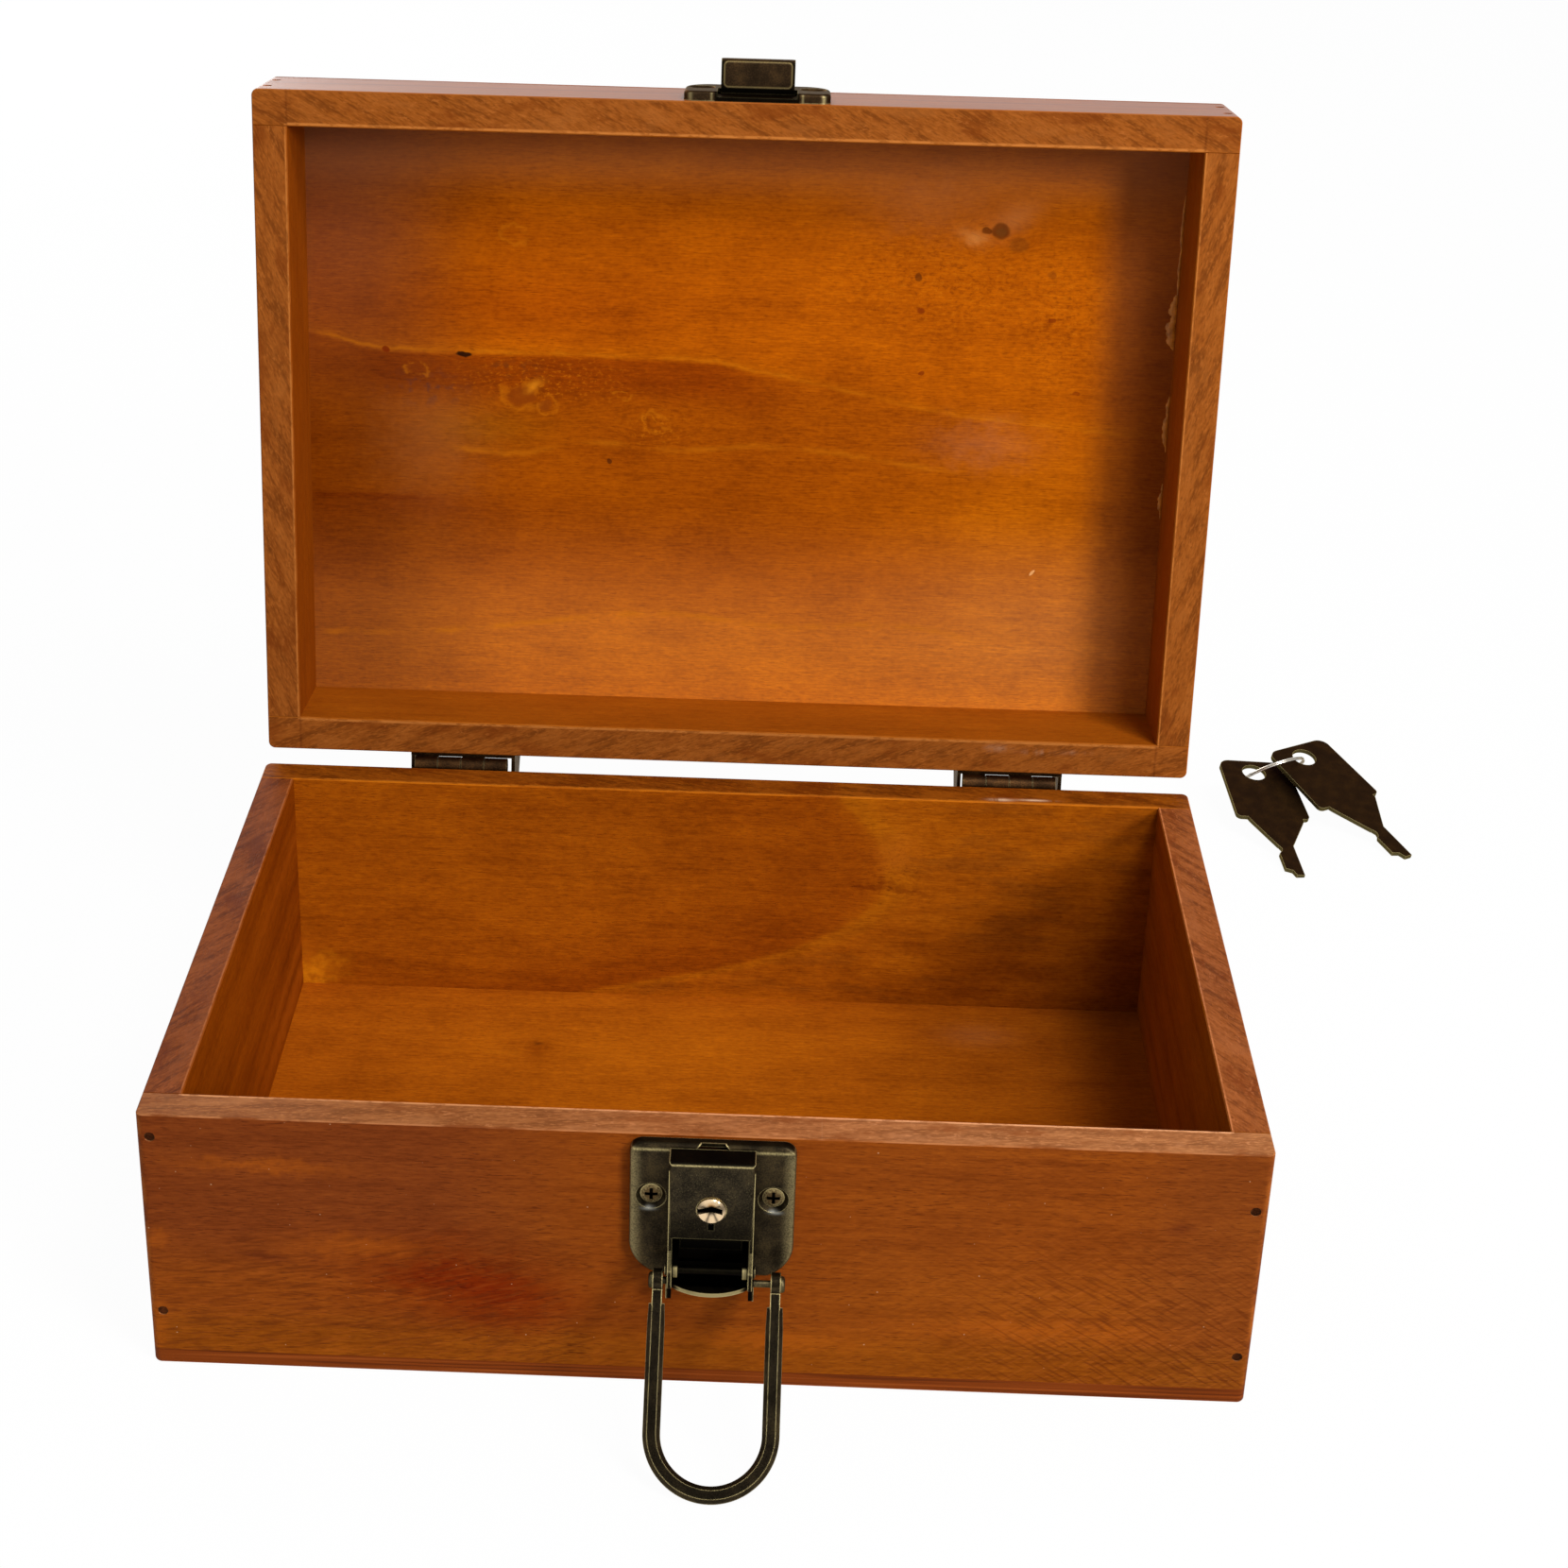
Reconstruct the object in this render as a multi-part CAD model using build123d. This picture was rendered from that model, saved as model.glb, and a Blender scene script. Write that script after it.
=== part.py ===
"""Small lidded wooden box with a lockable draw latch, stop hinges and two keys on a ring.

Lengths are millimetres. The origin is the middle of the underside, +X is to the right,
-Y is the front and +Z is up. Every solid is written as it stands with the lid open
against its stops, the latch lever shut and the bail leaning on the table.
"""

from build123d import *
from math import acos, asin, atan2, cos, degrees, hypot, radians, sin, sqrt
import os

# Boards and panels
width = 230.0
depth = 161.5
body_height = 62.4
lid_height = 28.6
board_thickness = 8.4
side_thickness = 8.1
bottom_thickness = 3.8
panel_thickness = 2.7
rim_gap = 0.2
corner_round = 1.6
panel_round = 1.0
rim_ease = 0.25

# Nails: left and right pairs as they were driven, as shares of the board's height
nail_radius = 0.65
nail_head_radius = 1.05
nail_head_length = 0.8
nail_set = 0.3
nail_length = 22.0
nail_inset = 2.7
front_nail_shares = {-1: (0.915, 0.22), 1: (0.78, 0.195)}
back_nail_shares = {-1: (0.833, 0.224), 1: (0.817, 0.208)}
lid_nail_shares = {-1: (0.27, 0.753), 1: (0.251, 0.772)}
bottom_nail_length = 16.0
bottom_nail_inset = 4.0
bottom_nails_per_side = 3

# Screws
screw_radius = 1.15
screw_head_radius = 2.26
screw_head_depth = 0.95
screw_dome = 0.35
screw_length = 7.4
cross_length = 2.5
cross_width = 0.55
cross_depth = 0.75
pilot_clearance = 0.05

# The metalwork sits a little to the right of the middle, as it was fitted
hardware_offset = 2.2

# Stop hinges
lid_angle = 97.5
hinge_inset = 46.4
hinge_axis_out = 2.9
hinge_axis_drop = 0.55
knuckle_radius = 2.25
knuckle_count = 4
knuckle_gap = 0.15
barrel_length = 23.2
hinge_pin_radius = 1.0
leaf_root = 1.6
running_clearance = 0.05
leaf_thickness = 1.0
leaf_length = 21.0
ear_thickness = 0.9
ear_gap = 0.8
ear_shift = 0.25
ear_radius = 12.0
ear_start = 2.0
stop_clearance = 0.03
hinge_screw_spacing = 13.0
hinge_screw_drop = 12.0
hinge_screw_head_radius = 2.1

# Latch base plate
plate_half_width = 16.8
plate_top_gap = 0.8
plate_height = 31.7
plate_taper_start = 24.0
plate_end_half = 11.6
plate_depth = 2.5
plate_skin = 0.9
plate_corner = 2.6
plate_edge_round = 0.8
window_half = 6.6
window_top_drop = 5.6
window_bottom_drop = 28.4
thumb_notch_radius = 4.0
thumb_notch_drop = 3.2
plate_screw_half = 12.4
plate_screw_drop = 12.6
screw_boss_radius = 3.7
screw_dimple_radius = 3.1
lip_half = 7.9
lip_side_reach = 6.2
lip_middle_reach = 9.2
lip_thickness = 0.9
lip_foot_width = 1.1
lip_foot_drop = 3.7
lip_foot_depth = 1.6

# Latch lever, seen from the side: distance out from the front board and height
lever_half = 8.65
lever_sheet = 0.9
lever_front = 8.4
lever_top_gap = 0.7
lever_face_height = 18.0
lever_back_gap = 0.3
lever_edge_round = 0.8
pivot_out = 7.8
pivot_drop = 26.8
pivot_pin_radius = 0.75
pivot_head_radius = 1.15
pivot_head_length = 0.45
pivot_boss = 1.9
ear_boss = 1.6
bail_pin_drop = 2.6
bail_pin_out = 0.2
bail_boss = 1.7
scoop_half = 6.3

# Lock in the lever
lock_drop = 10.8
cylinder_radius = 2.9
cylinder_front = 0.7
cylinder_back = 1.5
keyhole_cone_radius = 2.35
keyhole_cone_depth = 0.9
keyway_depth = 5.0
keyway_clearance = 0.1
keyway_shift = 0.3
housing_wall = 0.85
housing_back = 3.0
tail_radius = 1.2
cam_out = 0.65
cam_thickness = 0.8
cam_reach = 8.4
cam_width = 3.2
cam_hub_radius = 2.5
clip_radius = 2.0
clip_out = 0.35
clip_thickness = 0.28
index_width = 1.2
index_height = 2.0

# Bail
bail_shift = 1.45
bail_length = 44.3
bail_arm_half = 12.0
bail_wire_width = 3.55
bail_wire_thickness = 2.6
bail_bevel = 0.85
bail_neck_width = 2.0
bail_neck_thickness = 2.4
bail_neck_length = 4.8
bail_neck_inset = 0.0
bail_shoulder_length = 4.2
bail_shoulder_width = 3.2
bail_eye_radius = 2.4
bail_pin_radius = 0.75
bail_pin_head_radius = 1.7
bail_pin_head_length = 0.9
bail_pin_overhang = 0.12

# Striker on the lid, a little further to the right
striker_shift = 0.5
striker_half_width = 17.1
striker_rim_gap = 1.0
striker_height = 17.0
striker_taper_start = 10.0
striker_depth = 2.2
striker_screw_rise = 9.6
pocket_half = 9.3
pocket_height = 8.4
hook_half = 8.65
hook_rise = 8.0
hook_sheet = 1.0
hook_reach = 8.8
hook_lip = 2.4

# Keys on their ring
key_length = 52.0
key_thickness = 1.2
key_bow_width = 22.0
key_bow_length = 27.8
key_blade_width = 5.0
key_bow_round = 3.2
key_bow_flare = 1.4
key_shoulder_round = 1.5
key_neck_start = 3.7
key_stem_length = 13.5
key_notch_start = 11.6
key_notch_middle = 10.6
key_notch_end = 9.4
key_tip_side = 2.7
key_tip_notch = 2.0
key_hole_radius = 3.5
key_hole_shift = 0.75
key_hole_inset = 5.4
key_ring_radius = 10.0
key_wire_radius = 0.5
first_key_hole = (152.7, 200.5, 10.0)
first_key_angle = 8.0
first_key_roll_angle = -6.0
second_key_hole = (167.9, 206.3, 12.75)
second_key_angle = 32.0
second_key_roll_angle = 0.0
key_ring_angle = 45.0
key_ring_lift = 0.62

# Worked out from the sizes above
half_width = width / 2
half_depth = depth / 2
side_half = half_width - side_thickness
side_length = depth - 2 * board_thickness
lid_bottom = body_height + rim_gap
lid_board_height = lid_height - panel_thickness
hinge_y = half_depth + hinge_axis_out
hinge_z = body_height - hinge_axis_drop
hinge_spacing = width - 2 * hinge_inset
hinge_places = {
    "left": hardware_offset - hinge_spacing / 2,
    "right": hardware_offset + hinge_spacing / 2,
}
plate_top = body_height - plate_top_gap
plate_bottom = plate_top - plate_height
window_top = plate_top - window_top_drop
window_bottom = plate_top - window_bottom_drop
plate_screw_height = plate_top - plate_screw_drop
pivot_height = plate_top - pivot_drop
lever_top = plate_top - lever_top_gap
lever_face_bottom = lever_top - lever_face_height
lock_height = lever_top - lock_drop
lever_back = plate_depth + lever_back_gap
bail_pin_height = pivot_height - bail_pin_drop
bail_pin_place = pivot_out + bail_pin_out
bail_x = hardware_offset + bail_shift
striker_x = hardware_offset + striker_shift
striker_bottom = lid_bottom + striker_rim_gap
hook_height = striker_bottom + hook_rise
flush = (Align.CENTER, Align.CENTER, Align.MIN)

# On each face the first two local axes lie in the face and the third points outwards
front = Plane.XZ.offset(half_depth)
back = Plane(origin=(0, half_depth, 0), x_dir=(-1, 0, 0), z_dir=(0, 1, 0))
underside = Plane(origin=(0, 0, 0), x_dir=(1, 0, 0), z_dir=(0, 0, -1))


def block(x0, x1, y0, y1, z0, z1):
    """Rectangular block between two corners."""
    corner = (Align.MIN, Align.MIN, Align.MIN)
    return Pos(x0, y0, z0) * Box(x1 - x0, y1 - y0, z1 - z0, align=corner)


def rod(face, a, b, low, high, radius):
    """Round bar square to a face, from one distance out of it to another."""
    return face * Pos(a, b, low) * Cylinder(radius, high - low, align=flush)


def cross_bar(x0, x1, out, height, radius):
    """Round bar along X, placed by its distance out from the front and its height."""
    turned = Plane(origin=(x0, -half_depth - out, height), x_dir=(0, 1, 0), z_dir=(1, 0, 0))
    return turned * Cylinder(radius, x1 - x0, align=flush)


def side_sheet(outline, x0, x1):
    """Extrude an outline of (distance out from the front, height) from x0 to x1."""
    side = Plane(origin=(x1, -half_depth, 0), x_dir=(0, -1, 0), z_dir=(-1, 0, 0))
    return extrude(side * outline, amount=x1 - x0)


def open_lid(shape):
    """Turn a piece of the shut lid about the hinge line to where its stops hold it."""
    return shape.rotate(Axis((0, hinge_y, hinge_z), (1, 0, 0)), -lid_angle)


def nail(face, a, b, length, clearance=0.0):
    """Nail driven square into a face with its head set under the surface."""
    shank = rod(face, a, b, -length, -nail_set, nail_radius + clearance)
    head_bottom = -nail_set - nail_head_length
    head_top = 0.0 if clearance else -nail_set
    return shank + rod(face, a, b, head_bottom, head_top, nail_head_radius + clearance)


def screw(face, a, b, seat, head_radius, clearance=0.0):
    """Countersunk screw with a low domed head and a cross recess."""
    shank_end = seat - screw_length
    shank = rod(face, a, b, shank_end, seat - screw_head_depth, screw_radius + clearance)
    if clearance:
        return shank
    cone = Cone(screw_radius, head_radius, screw_head_depth, align=flush)
    head = face * Pos(a, b, seat - screw_head_depth) * cone
    dome_radius = (head_radius**2 + screw_dome**2) / (2 * screw_dome)
    ball = face * Pos(a, b, seat + screw_dome - dome_radius) * Sphere(dome_radius)
    cap = ball & rod(face, a, b, seat - 0.01, seat + screw_dome, head_radius)
    slot = Box(cross_length, cross_width, cross_depth + screw_dome, align=flush)
    bottom = face * Pos(a, b, seat - cross_depth)
    return shank + head + cap - bottom * slot - bottom * Rot(0, 0, 90) * slot


def countersink(face, a, b, seat, head_radius):
    """Hole that a countersunk screw leaves in a sheet, with the shank's clearance."""
    cone = Cone(screw_radius, head_radius, screw_head_depth, align=flush)
    hole = rod(face, a, b, -screw_length, seat, screw_radius + pilot_clearance)
    return hole + face * Pos(a, b, seat - screw_head_depth) * cone


def nail_heights(shares, bottom=0.0, height=body_height):
    """Heights of the nails at each end of a board, from their shares of its height."""
    return {side: [bottom + height * share for share in row] for side, row in shares.items()}


def nails_at(face, heights, sign, clearance=0.0):
    """Nails near both ends of a front or back board."""
    places = [(side, z) for side in (-1, 1) for z in heights[side]]
    x = half_width - nail_inset
    return [nail(face, sign * side * x, z, nail_length, clearance) for side, z in places]


def cut(shape, tools):
    """Take every tool out of a shape."""
    for tool in tools:
        shape = shape - tool
    return shape


def long_board(z0, z1, sign):
    """Front or back board across the full width, with its upright outer edges rounded."""
    inner = half_depth - board_thickness
    y0, y1 = sorted((sign * inner, sign * half_depth))
    board = block(-half_width, half_width, y0, y1, z0, z1)
    uprights = board.edges().filter_by(Axis.Z).group_by(Axis.Y)[0 if sign < 0 else -1]
    return fillet(uprights, corner_round)


def side_board(z0, z1, sign):
    """Side board between the front and back boards."""
    x0, x1 = sorted((sign * side_half, sign * half_width))
    return block(x0, x1, -side_length / 2, side_length / 2, z0, z1)


def ease_rim(board, up):
    """Small bevel round the long edges of a board at its rim."""
    face = board.faces().filter_by(Axis.Z).sort_by(Axis.Z)[-1 if up > 0 else 0]
    return chamfer(face.edges().sort_by(SortBy.LENGTH)[-2:], rim_ease)


def flat_panel(z0, z1, round_face):
    """Plywood panel over the full size of the box with eased corners and edges."""
    panel = block(-half_width, half_width, -half_depth, half_depth, z0, z1)
    panel = fillet(panel.edges().filter_by(Axis.Z), corner_round)
    face = panel.faces().sort_by(Axis.Z)[round_face]
    return fillet(face.edges(), panel_round)


def bottom_nail_places():
    """Nails through the bottom panel into the front and back boards."""
    reach = side_half - bottom_nail_inset * 3
    step = 2 * reach / (bottom_nails_per_side - 1)
    y = half_depth - bottom_nail_inset
    return [(-reach + i * step, y * s) for i in range(bottom_nails_per_side) for s in (-1, 1)]


def body_boards():
    """The four boards and the bottom of the box, with their nail and screw holes."""
    z0, z1 = bottom_thickness, body_height
    holes = nails_at(front, nail_heights(front_nail_shares), 1, pilot_clearance)
    holes += nails_at(back, nail_heights(back_nail_shares), -1, pilot_clearance)
    places = bottom_nail_places()
    holes += [nail(underside, x, -y, bottom_nail_length, pilot_clearance) for x, y in places]
    drills = [screw(front, x, z, seat, screw_head_radius, pilot_clearance)
              for x, z, seat in plate_screws()]
    drills += [screw(back, -x, z, leaf_thickness, hinge_screw_head_radius, pilot_clearance)
               for side in hinge_places for x, z in hinge_screws(side, -1)]
    made = {
        "body_front_board": ease_rim(long_board(z0, z1, -1), 1),
        "body_back_board": ease_rim(long_board(z0, z1, 1), 1),
        "body_left_board": ease_rim(side_board(z0, z1, -1), 1),
        "body_right_board": ease_rim(side_board(z0, z1, 1), 1),
        "bottom_panel": flat_panel(0, bottom_thickness, 0),
    }
    return {name: cut(board, holes + drills) for name, board in made.items()}


def lid_boards():
    """The four boards and the top panel of the lid, made shut."""
    z0, z1 = lid_bottom, lid_bottom + lid_board_height
    heights = nail_heights(lid_nail_shares, z0, lid_board_height)
    holes = nails_at(front, heights, 1, pilot_clearance)
    holes += nails_at(back, heights, -1, pilot_clearance)
    drills = [screw(front, x, z, seat, screw_head_radius, pilot_clearance)
              for x, z, seat in striker_screws()]
    drills += [screw(back, -x, z, leaf_thickness, hinge_screw_head_radius, pilot_clearance)
               for side in hinge_places for x, z in hinge_screws(side, 1)]
    made = {
        "lid_front_board": ease_rim(long_board(z0, z1, -1), -1),
        "lid_back_board": ease_rim(long_board(z0, z1, 1), -1),
        "lid_left_board": ease_rim(side_board(z0, z1, -1), -1),
        "lid_right_board": ease_rim(side_board(z0, z1, 1), -1),
        "lid_top_panel": flat_panel(z1, z1 + panel_thickness, -1),
    }
    return {name: cut(board, holes + drills) for name, board in made.items()}


def all_nails():
    """The nails of the box, of its bottom and of the lid, as one group each."""
    z0 = lid_bottom
    heights = nail_heights(lid_nail_shares, z0, lid_board_height)
    body = nails_at(front, nail_heights(front_nail_shares), 1)
    body += nails_at(back, nail_heights(back_nail_shares), -1)
    lid = nails_at(front, heights, 1) + nails_at(back, heights, -1)
    under = [nail(underside, x, -y, bottom_nail_length) for x, y in bottom_nail_places()]
    return {"body_nails": body, "bottom_nails": under, "lid_nails": lid}


def hinge_screws(side, up):
    """Screw places of one leaf: up is -1 on the box and 1 on the lid."""
    z = hinge_z + up * hinge_screw_drop
    x = hinge_places[side]
    return [(x - hinge_screw_spacing / 2, z), (x + hinge_screw_spacing / 2, z)]


def ear_outline(up):
    """Side of a leaf's ear about the hinge line, with its stop edge on the half angle."""
    stop = radians(lid_angle / 2) + asin(stop_clearance / ear_radius)
    low = (ear_start * cos(stop), ear_start * sin(stop) + stop_clearance)
    high = (ear_radius * cos(stop), ear_radius * sin(stop))
    wood = -hinge_axis_out
    bend = (high[0] - 0.8, high[1] + 3.0)
    points = [(wood, ear_start), low, high, bend, (wood + leaf_thickness, leaf_length),
              (wood, leaf_length)]
    return make_face(Polyline([(y, up * z) for y, z in points], close=True))


def hinge_leaf(side, up):
    """Leaf with its knuckles and two ears. The lid's leaf, up = 1, has the first knuckle."""
    x = hinge_places[side]
    start = x - barrel_length / 2
    pitch = barrel_length / knuckle_count
    ear_out = barrel_length / 2 + ear_gap + ear_thickness - ear_shift
    middle = x + ear_shift
    root = hinge_z + up * leaf_root
    z0, z1 = sorted((root, hinge_z + up * leaf_length))
    leaf = block(middle - ear_out, middle + ear_out, half_depth, half_depth + leaf_thickness,
                 z0, z1)
    for i in range(0 if up > 0 else 1, knuckle_count, 2):
        x0 = start + i * pitch + knuckle_gap / 2
        x1 = x0 + pitch - knuckle_gap
        turned = Plane(origin=(x0, hinge_y, hinge_z), x_dir=(0, 1, 0), z_dir=(1, 0, 0))
        w0, w1 = sorted((root, hinge_z + up * knuckle_radius))
        web = block(x0, x1, half_depth, hinge_y, w0, w1)
        leaf = leaf + web + turned * Cylinder(knuckle_radius, x1 - x0, align=flush)
    for edge in (middle - ear_out, middle + ear_out - ear_thickness):
        turned = Plane(origin=(edge, hinge_y, hinge_z), x_dir=(0, 1, 0), z_dir=(1, 0, 0))
        leaf = leaf + extrude(turned * ear_outline(up), amount=ear_thickness)
    bore = hinge_pin_radius + running_clearance
    leaf = leaf - hinge_bar(side, barrel_length / 2, bore)
    seat = leaf_thickness
    tools = [countersink(back, -sx, sz, seat, hinge_screw_head_radius)
             for sx, sz in hinge_screws(side, up)]
    return cut(leaf, tools)


def hinge_bar(side, half, radius):
    """Round bar on the hinge line of one hinge."""
    origin = (hinge_places[side] - half, hinge_y, hinge_z)
    turned = Plane(origin=origin, x_dir=(0, 1, 0), z_dir=(1, 0, 0))
    return turned * Cylinder(radius, 2 * half, align=flush)


def hinge_pin(side):
    """Plain pin, flush with the ends of the barrel."""
    return hinge_bar(side, barrel_length / 2, hinge_pin_radius)


def plate_outline(edge, taper_start, end, half=None):
    """Plate with two rounded corners at one edge and drawn-in shoulders at the other."""
    half = half or plate_half_width
    way = 1 if end > edge else -1
    taper = edge + way * taper_start
    lines = Line((-half, edge), (half, edge)) + Line((half, edge), (half, taper))
    lines += TangentArc((half, taper), (plate_end_half, end), tangent=(0, way))
    lines += Line((plate_end_half, end), (-plate_end_half, end))
    lines += TangentArc((-half, taper), (-plate_end_half, end), tangent=(0, way))
    lines += Line((-half, taper), (-half, edge))
    face = make_face(lines)
    corners = [v for v in face.vertices() if abs(v.Y - edge) < 1e-6]
    return fillet(corners, plate_corner)


def dished_plate(x, edge, taper_start, end, dish, half=None):
    """Pressed plate, open towards the wood, with a dimpled boss round each screw."""
    place = front * Pos(x, 0, 0)
    outline = plate_outline(edge, taper_start, end, half)
    plate = extrude(place * outline, amount=dish)
    plate = fillet(plate.faces().sort_by(Axis.Y)[0].edges(), plate_edge_round)
    hollow = offset(outline, amount=-plate_skin)
    return plate - extrude(place * hollow, amount=dish - plate_skin)


def dimple(x, z, dish):
    """Boss and the sunk cone that a screw head lies in."""
    boss = rod(front, x, z, 0, dish - plate_skin / 2, screw_boss_radius)
    rise = dish - screw_head_depth
    cone = Cone(screw_head_radius, screw_dimple_radius, screw_head_depth, align=flush)
    bowl = front * Pos(x, z, rise) * cone
    sink = countersink(front, x, z, rise, screw_head_radius)
    return boss, bowl + sink


def plate_screws():
    """Places of the latch's screws and the height their heads seat at."""
    seat = plate_depth - screw_head_depth
    return [(hardware_offset + s * plate_screw_half, plate_screw_height, seat)
            for s in (-1, 1)]


def striker_screws():
    """Places of the striker's screws and the height their heads seat at."""
    seat = striker_depth - screw_head_depth
    z = striker_bottom + striker_screw_rise
    return [(striker_x + s * (plate_screw_half + 0.6), z, seat) for s in (-1, 1)]


def latch_base_plate():
    """Dished plate with a window, two pivot ears and a curved lip along its lower edge."""
    x = hardware_offset
    plate = dished_plate(x, plate_top, plate_taper_start, plate_bottom, plate_depth)
    for sx, sz, _ in plate_screws():
        boss, sink = dimple(sx, sz, plate_depth)
        plate = plate + boss - sink
    plate = plate - side_sheet(
        make_face(Polyline([(-1, window_bottom), (plate_depth + 1, window_bottom),
                            (plate_depth + 1, window_top), (-1, window_top)], close=True)),
        x - window_half, x + window_half)
    notch = rod(front, x, plate_top - thumb_notch_drop, plate_depth - plate_skin,
                plate_depth + 1, thumb_notch_radius)
    plate = plate - notch
    boss = Pos(pivot_out, pivot_height) * Circle(ear_boss)
    foot = Polyline([(0.9, pivot_height - 1.6), (0.9, pivot_height + 4.4)])
    ear = make_hull(list(boss.edges()) + list(foot.edges()))
    lip_z = plate_bottom - 0.7
    lip = lip_outline()
    plate = plate + extrude(Plane.XY.offset(lip_z) * lip, amount=lip_thickness)
    lip_top = lip_z + lip_thickness
    foot_low = lip_top - lip_foot_drop
    foot_points = [(0, lip_top), (lip_side_reach, lip_top), (lip_side_reach, foot_low),
                   (lip_side_reach - lip_foot_depth, foot_low), (3.2, lip_top - 1.5),
                   (0, lip_top - 1.5)]
    lip_side = make_face(Polyline(foot_points, close=True))
    for s in (-1, 1):
        inner, outer = window_half, window_half + lever_sheet
        x0, x1 = sorted((x + s * inner, x + s * outer))
        plate = plate + side_sheet(ear, x0, x1)
        x0, x1 = sorted((x + s * (lip_half - 0.01), x + s * (lip_half + lip_foot_width)))
        plate = plate + side_sheet(lip_side, x0, x1)
    hole = pivot_pin_radius + running_clearance
    return plate - cross_bar(x - lever_half, x + lever_half, pivot_out, pivot_height, hole)


def lip_outline():
    """Curved lip seen from above, deepest in the middle."""
    x, y = hardware_offset, -half_depth
    left, right = (x - lip_half, y - lip_side_reach), (x + lip_half, y - lip_side_reach)
    lines = Line((x - lip_half, y), left)
    lines += ThreePointArc(left, (x, y - lip_middle_reach), right)
    lines += Line(right, (x + lip_half, y)) + Line((x + lip_half, y), (x - lip_half, y))
    return make_face(lines)


def lever_flange():
    """Side of the lever from its face down round the pivot and the bail pin."""
    upper = [(lever_back, lever_top - 2), (lever_front - 0.4, lever_top - 2),
             (lever_front, pivot_height + 5), (pivot_out + pivot_boss - 0.1, pivot_height + 0.5),
             (pivot_out - pivot_boss + 0.1, pivot_height + 0.5), (lever_back, pivot_height + 5)]
    sheet = make_face(Polyline(upper, close=True))
    top = Pos(pivot_out, pivot_height) * Circle(pivot_boss)
    low = Pos(bail_pin_place, bail_pin_height) * Circle(bail_boss)
    return sheet + make_hull(list(top.edges()) + list(low.edges()))


def latch_lever():
    """Folded lever: face, top and two flanges, with a scooped sheet behind its lower edge."""
    x = hardware_offset
    y_front, y_back = -half_depth - lever_front, -half_depth - lever_back
    shell = block(x - lever_half, x + lever_half, y_front, y_back, lever_face_bottom, lever_top)
    uprights = shell.edges().filter_by(Axis.Z).group_by(Axis.Y)[0]
    crest = shell.edges().filter_by(Axis.X).group_by(Axis.Y)[0].sort_by(Axis.Z)[-1]
    shell = fillet(list(uprights) + [crest], lever_edge_round)
    inner = lever_half - lever_sheet
    shell = shell - block(x - inner, x + inner, y_front + lever_sheet, y_back + 1,
                          lever_face_bottom - 1, lever_top - lever_sheet)
    flange = lever_flange()
    shell = shell + side_sheet(flange, x - lever_half, x - inner)
    shell = shell + side_sheet(flange, x + inner, x + lever_half)
    face_back = lever_front - lever_sheet
    low = lever_face_bottom
    scoop = [(face_back, low + 0.9), (face_back, low + 1.8), (5.0, low - 1.6),
             (4.6, low - 4.4), (5.5, low - 4.4), (5.9, low - 2.1),
             (lever_front - 0.1, low), (lever_front - 0.1, low + 0.9)]
    sheet = side_sheet(make_face(Polyline(scoop, close=True)), x - scoop_half, x + scoop_half)
    bar = [(face_back - 0.9, low), (lever_front - 0.1, low), (lever_front - 0.1, low + 0.9),
           (face_back - 0.9, low + 0.9)]
    shell = shell + sheet + side_sheet(make_face(Polyline(bar, close=True)), x - inner, x + inner)
    opening = cylinder_radius + running_clearance
    shell = shell - rod(front, x, lock_height, face_back - 1, lever_front + 1, opening)
    index_z = lock_height - opening
    y0, y1 = y_front - 1, -half_depth - face_back + 1
    shell = shell - block(x - index_width / 2, x + index_width / 2, y0, y1,
                          index_z - index_height, index_z + 0.4)
    for out, height, radius in ((pivot_out, pivot_height, pivot_pin_radius),
                                (bail_pin_place, bail_pin_height, bail_pin_radius)):
        hole = radius + running_clearance
        shell = shell - cross_bar(x - lever_half - 1, x + lever_half + 1, out, height, hole)
    return shell


def latch_pivot_pin():
    """Pin through the plate's ears and the lever's flanges, headed at both ends."""
    x = hardware_offset
    reach = lever_half + 0.1
    pin = cross_bar(x - reach, x + reach, pivot_out, pivot_height, pivot_pin_radius)
    for s in (-1, 1):
        x0, x1 = sorted((x + s * reach, x + s * (reach + pivot_head_length)))
        pin = pin + cross_bar(x0, x1, pivot_out, pivot_height, pivot_head_radius)
    return pin


def lock_housing():
    """Sleeve behind the lever's face that carries the key cylinder."""
    x = hardware_offset
    bore = cylinder_radius + running_clearance
    face_back = lever_front - lever_sheet
    sleeve = rod(front, x, lock_height, housing_back, face_back, bore + housing_wall)
    return sleeve - rod(front, x, lock_height, housing_back - 1, face_back + 1, bore)


def key_cylinder():
    """Round plug with a coned keyhole, a slot for the key and a tail for the cam."""
    x = hardware_offset
    face = lever_front + cylinder_front
    plug = rod(front, x, lock_height, cylinder_back, face, cylinder_radius)
    plug = chamfer(plug.edges().sort_by(Axis.Y)[0], 0.25)
    cone = Cone(0.5, keyhole_cone_radius, keyhole_cone_depth, align=flush)
    plug = plug - front * Pos(x, lock_height, face - keyhole_cone_depth) * cone
    slot = Box(key_blade_width + keyway_clearance, key_thickness + keyway_clearance,
               keyway_depth, align=flush)
    plug = plug - front * Pos(x - keyway_shift, lock_height, face - keyway_depth) * slot
    return plug + rod(front, x, lock_height, clip_out, cylinder_back, tail_radius)


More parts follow.
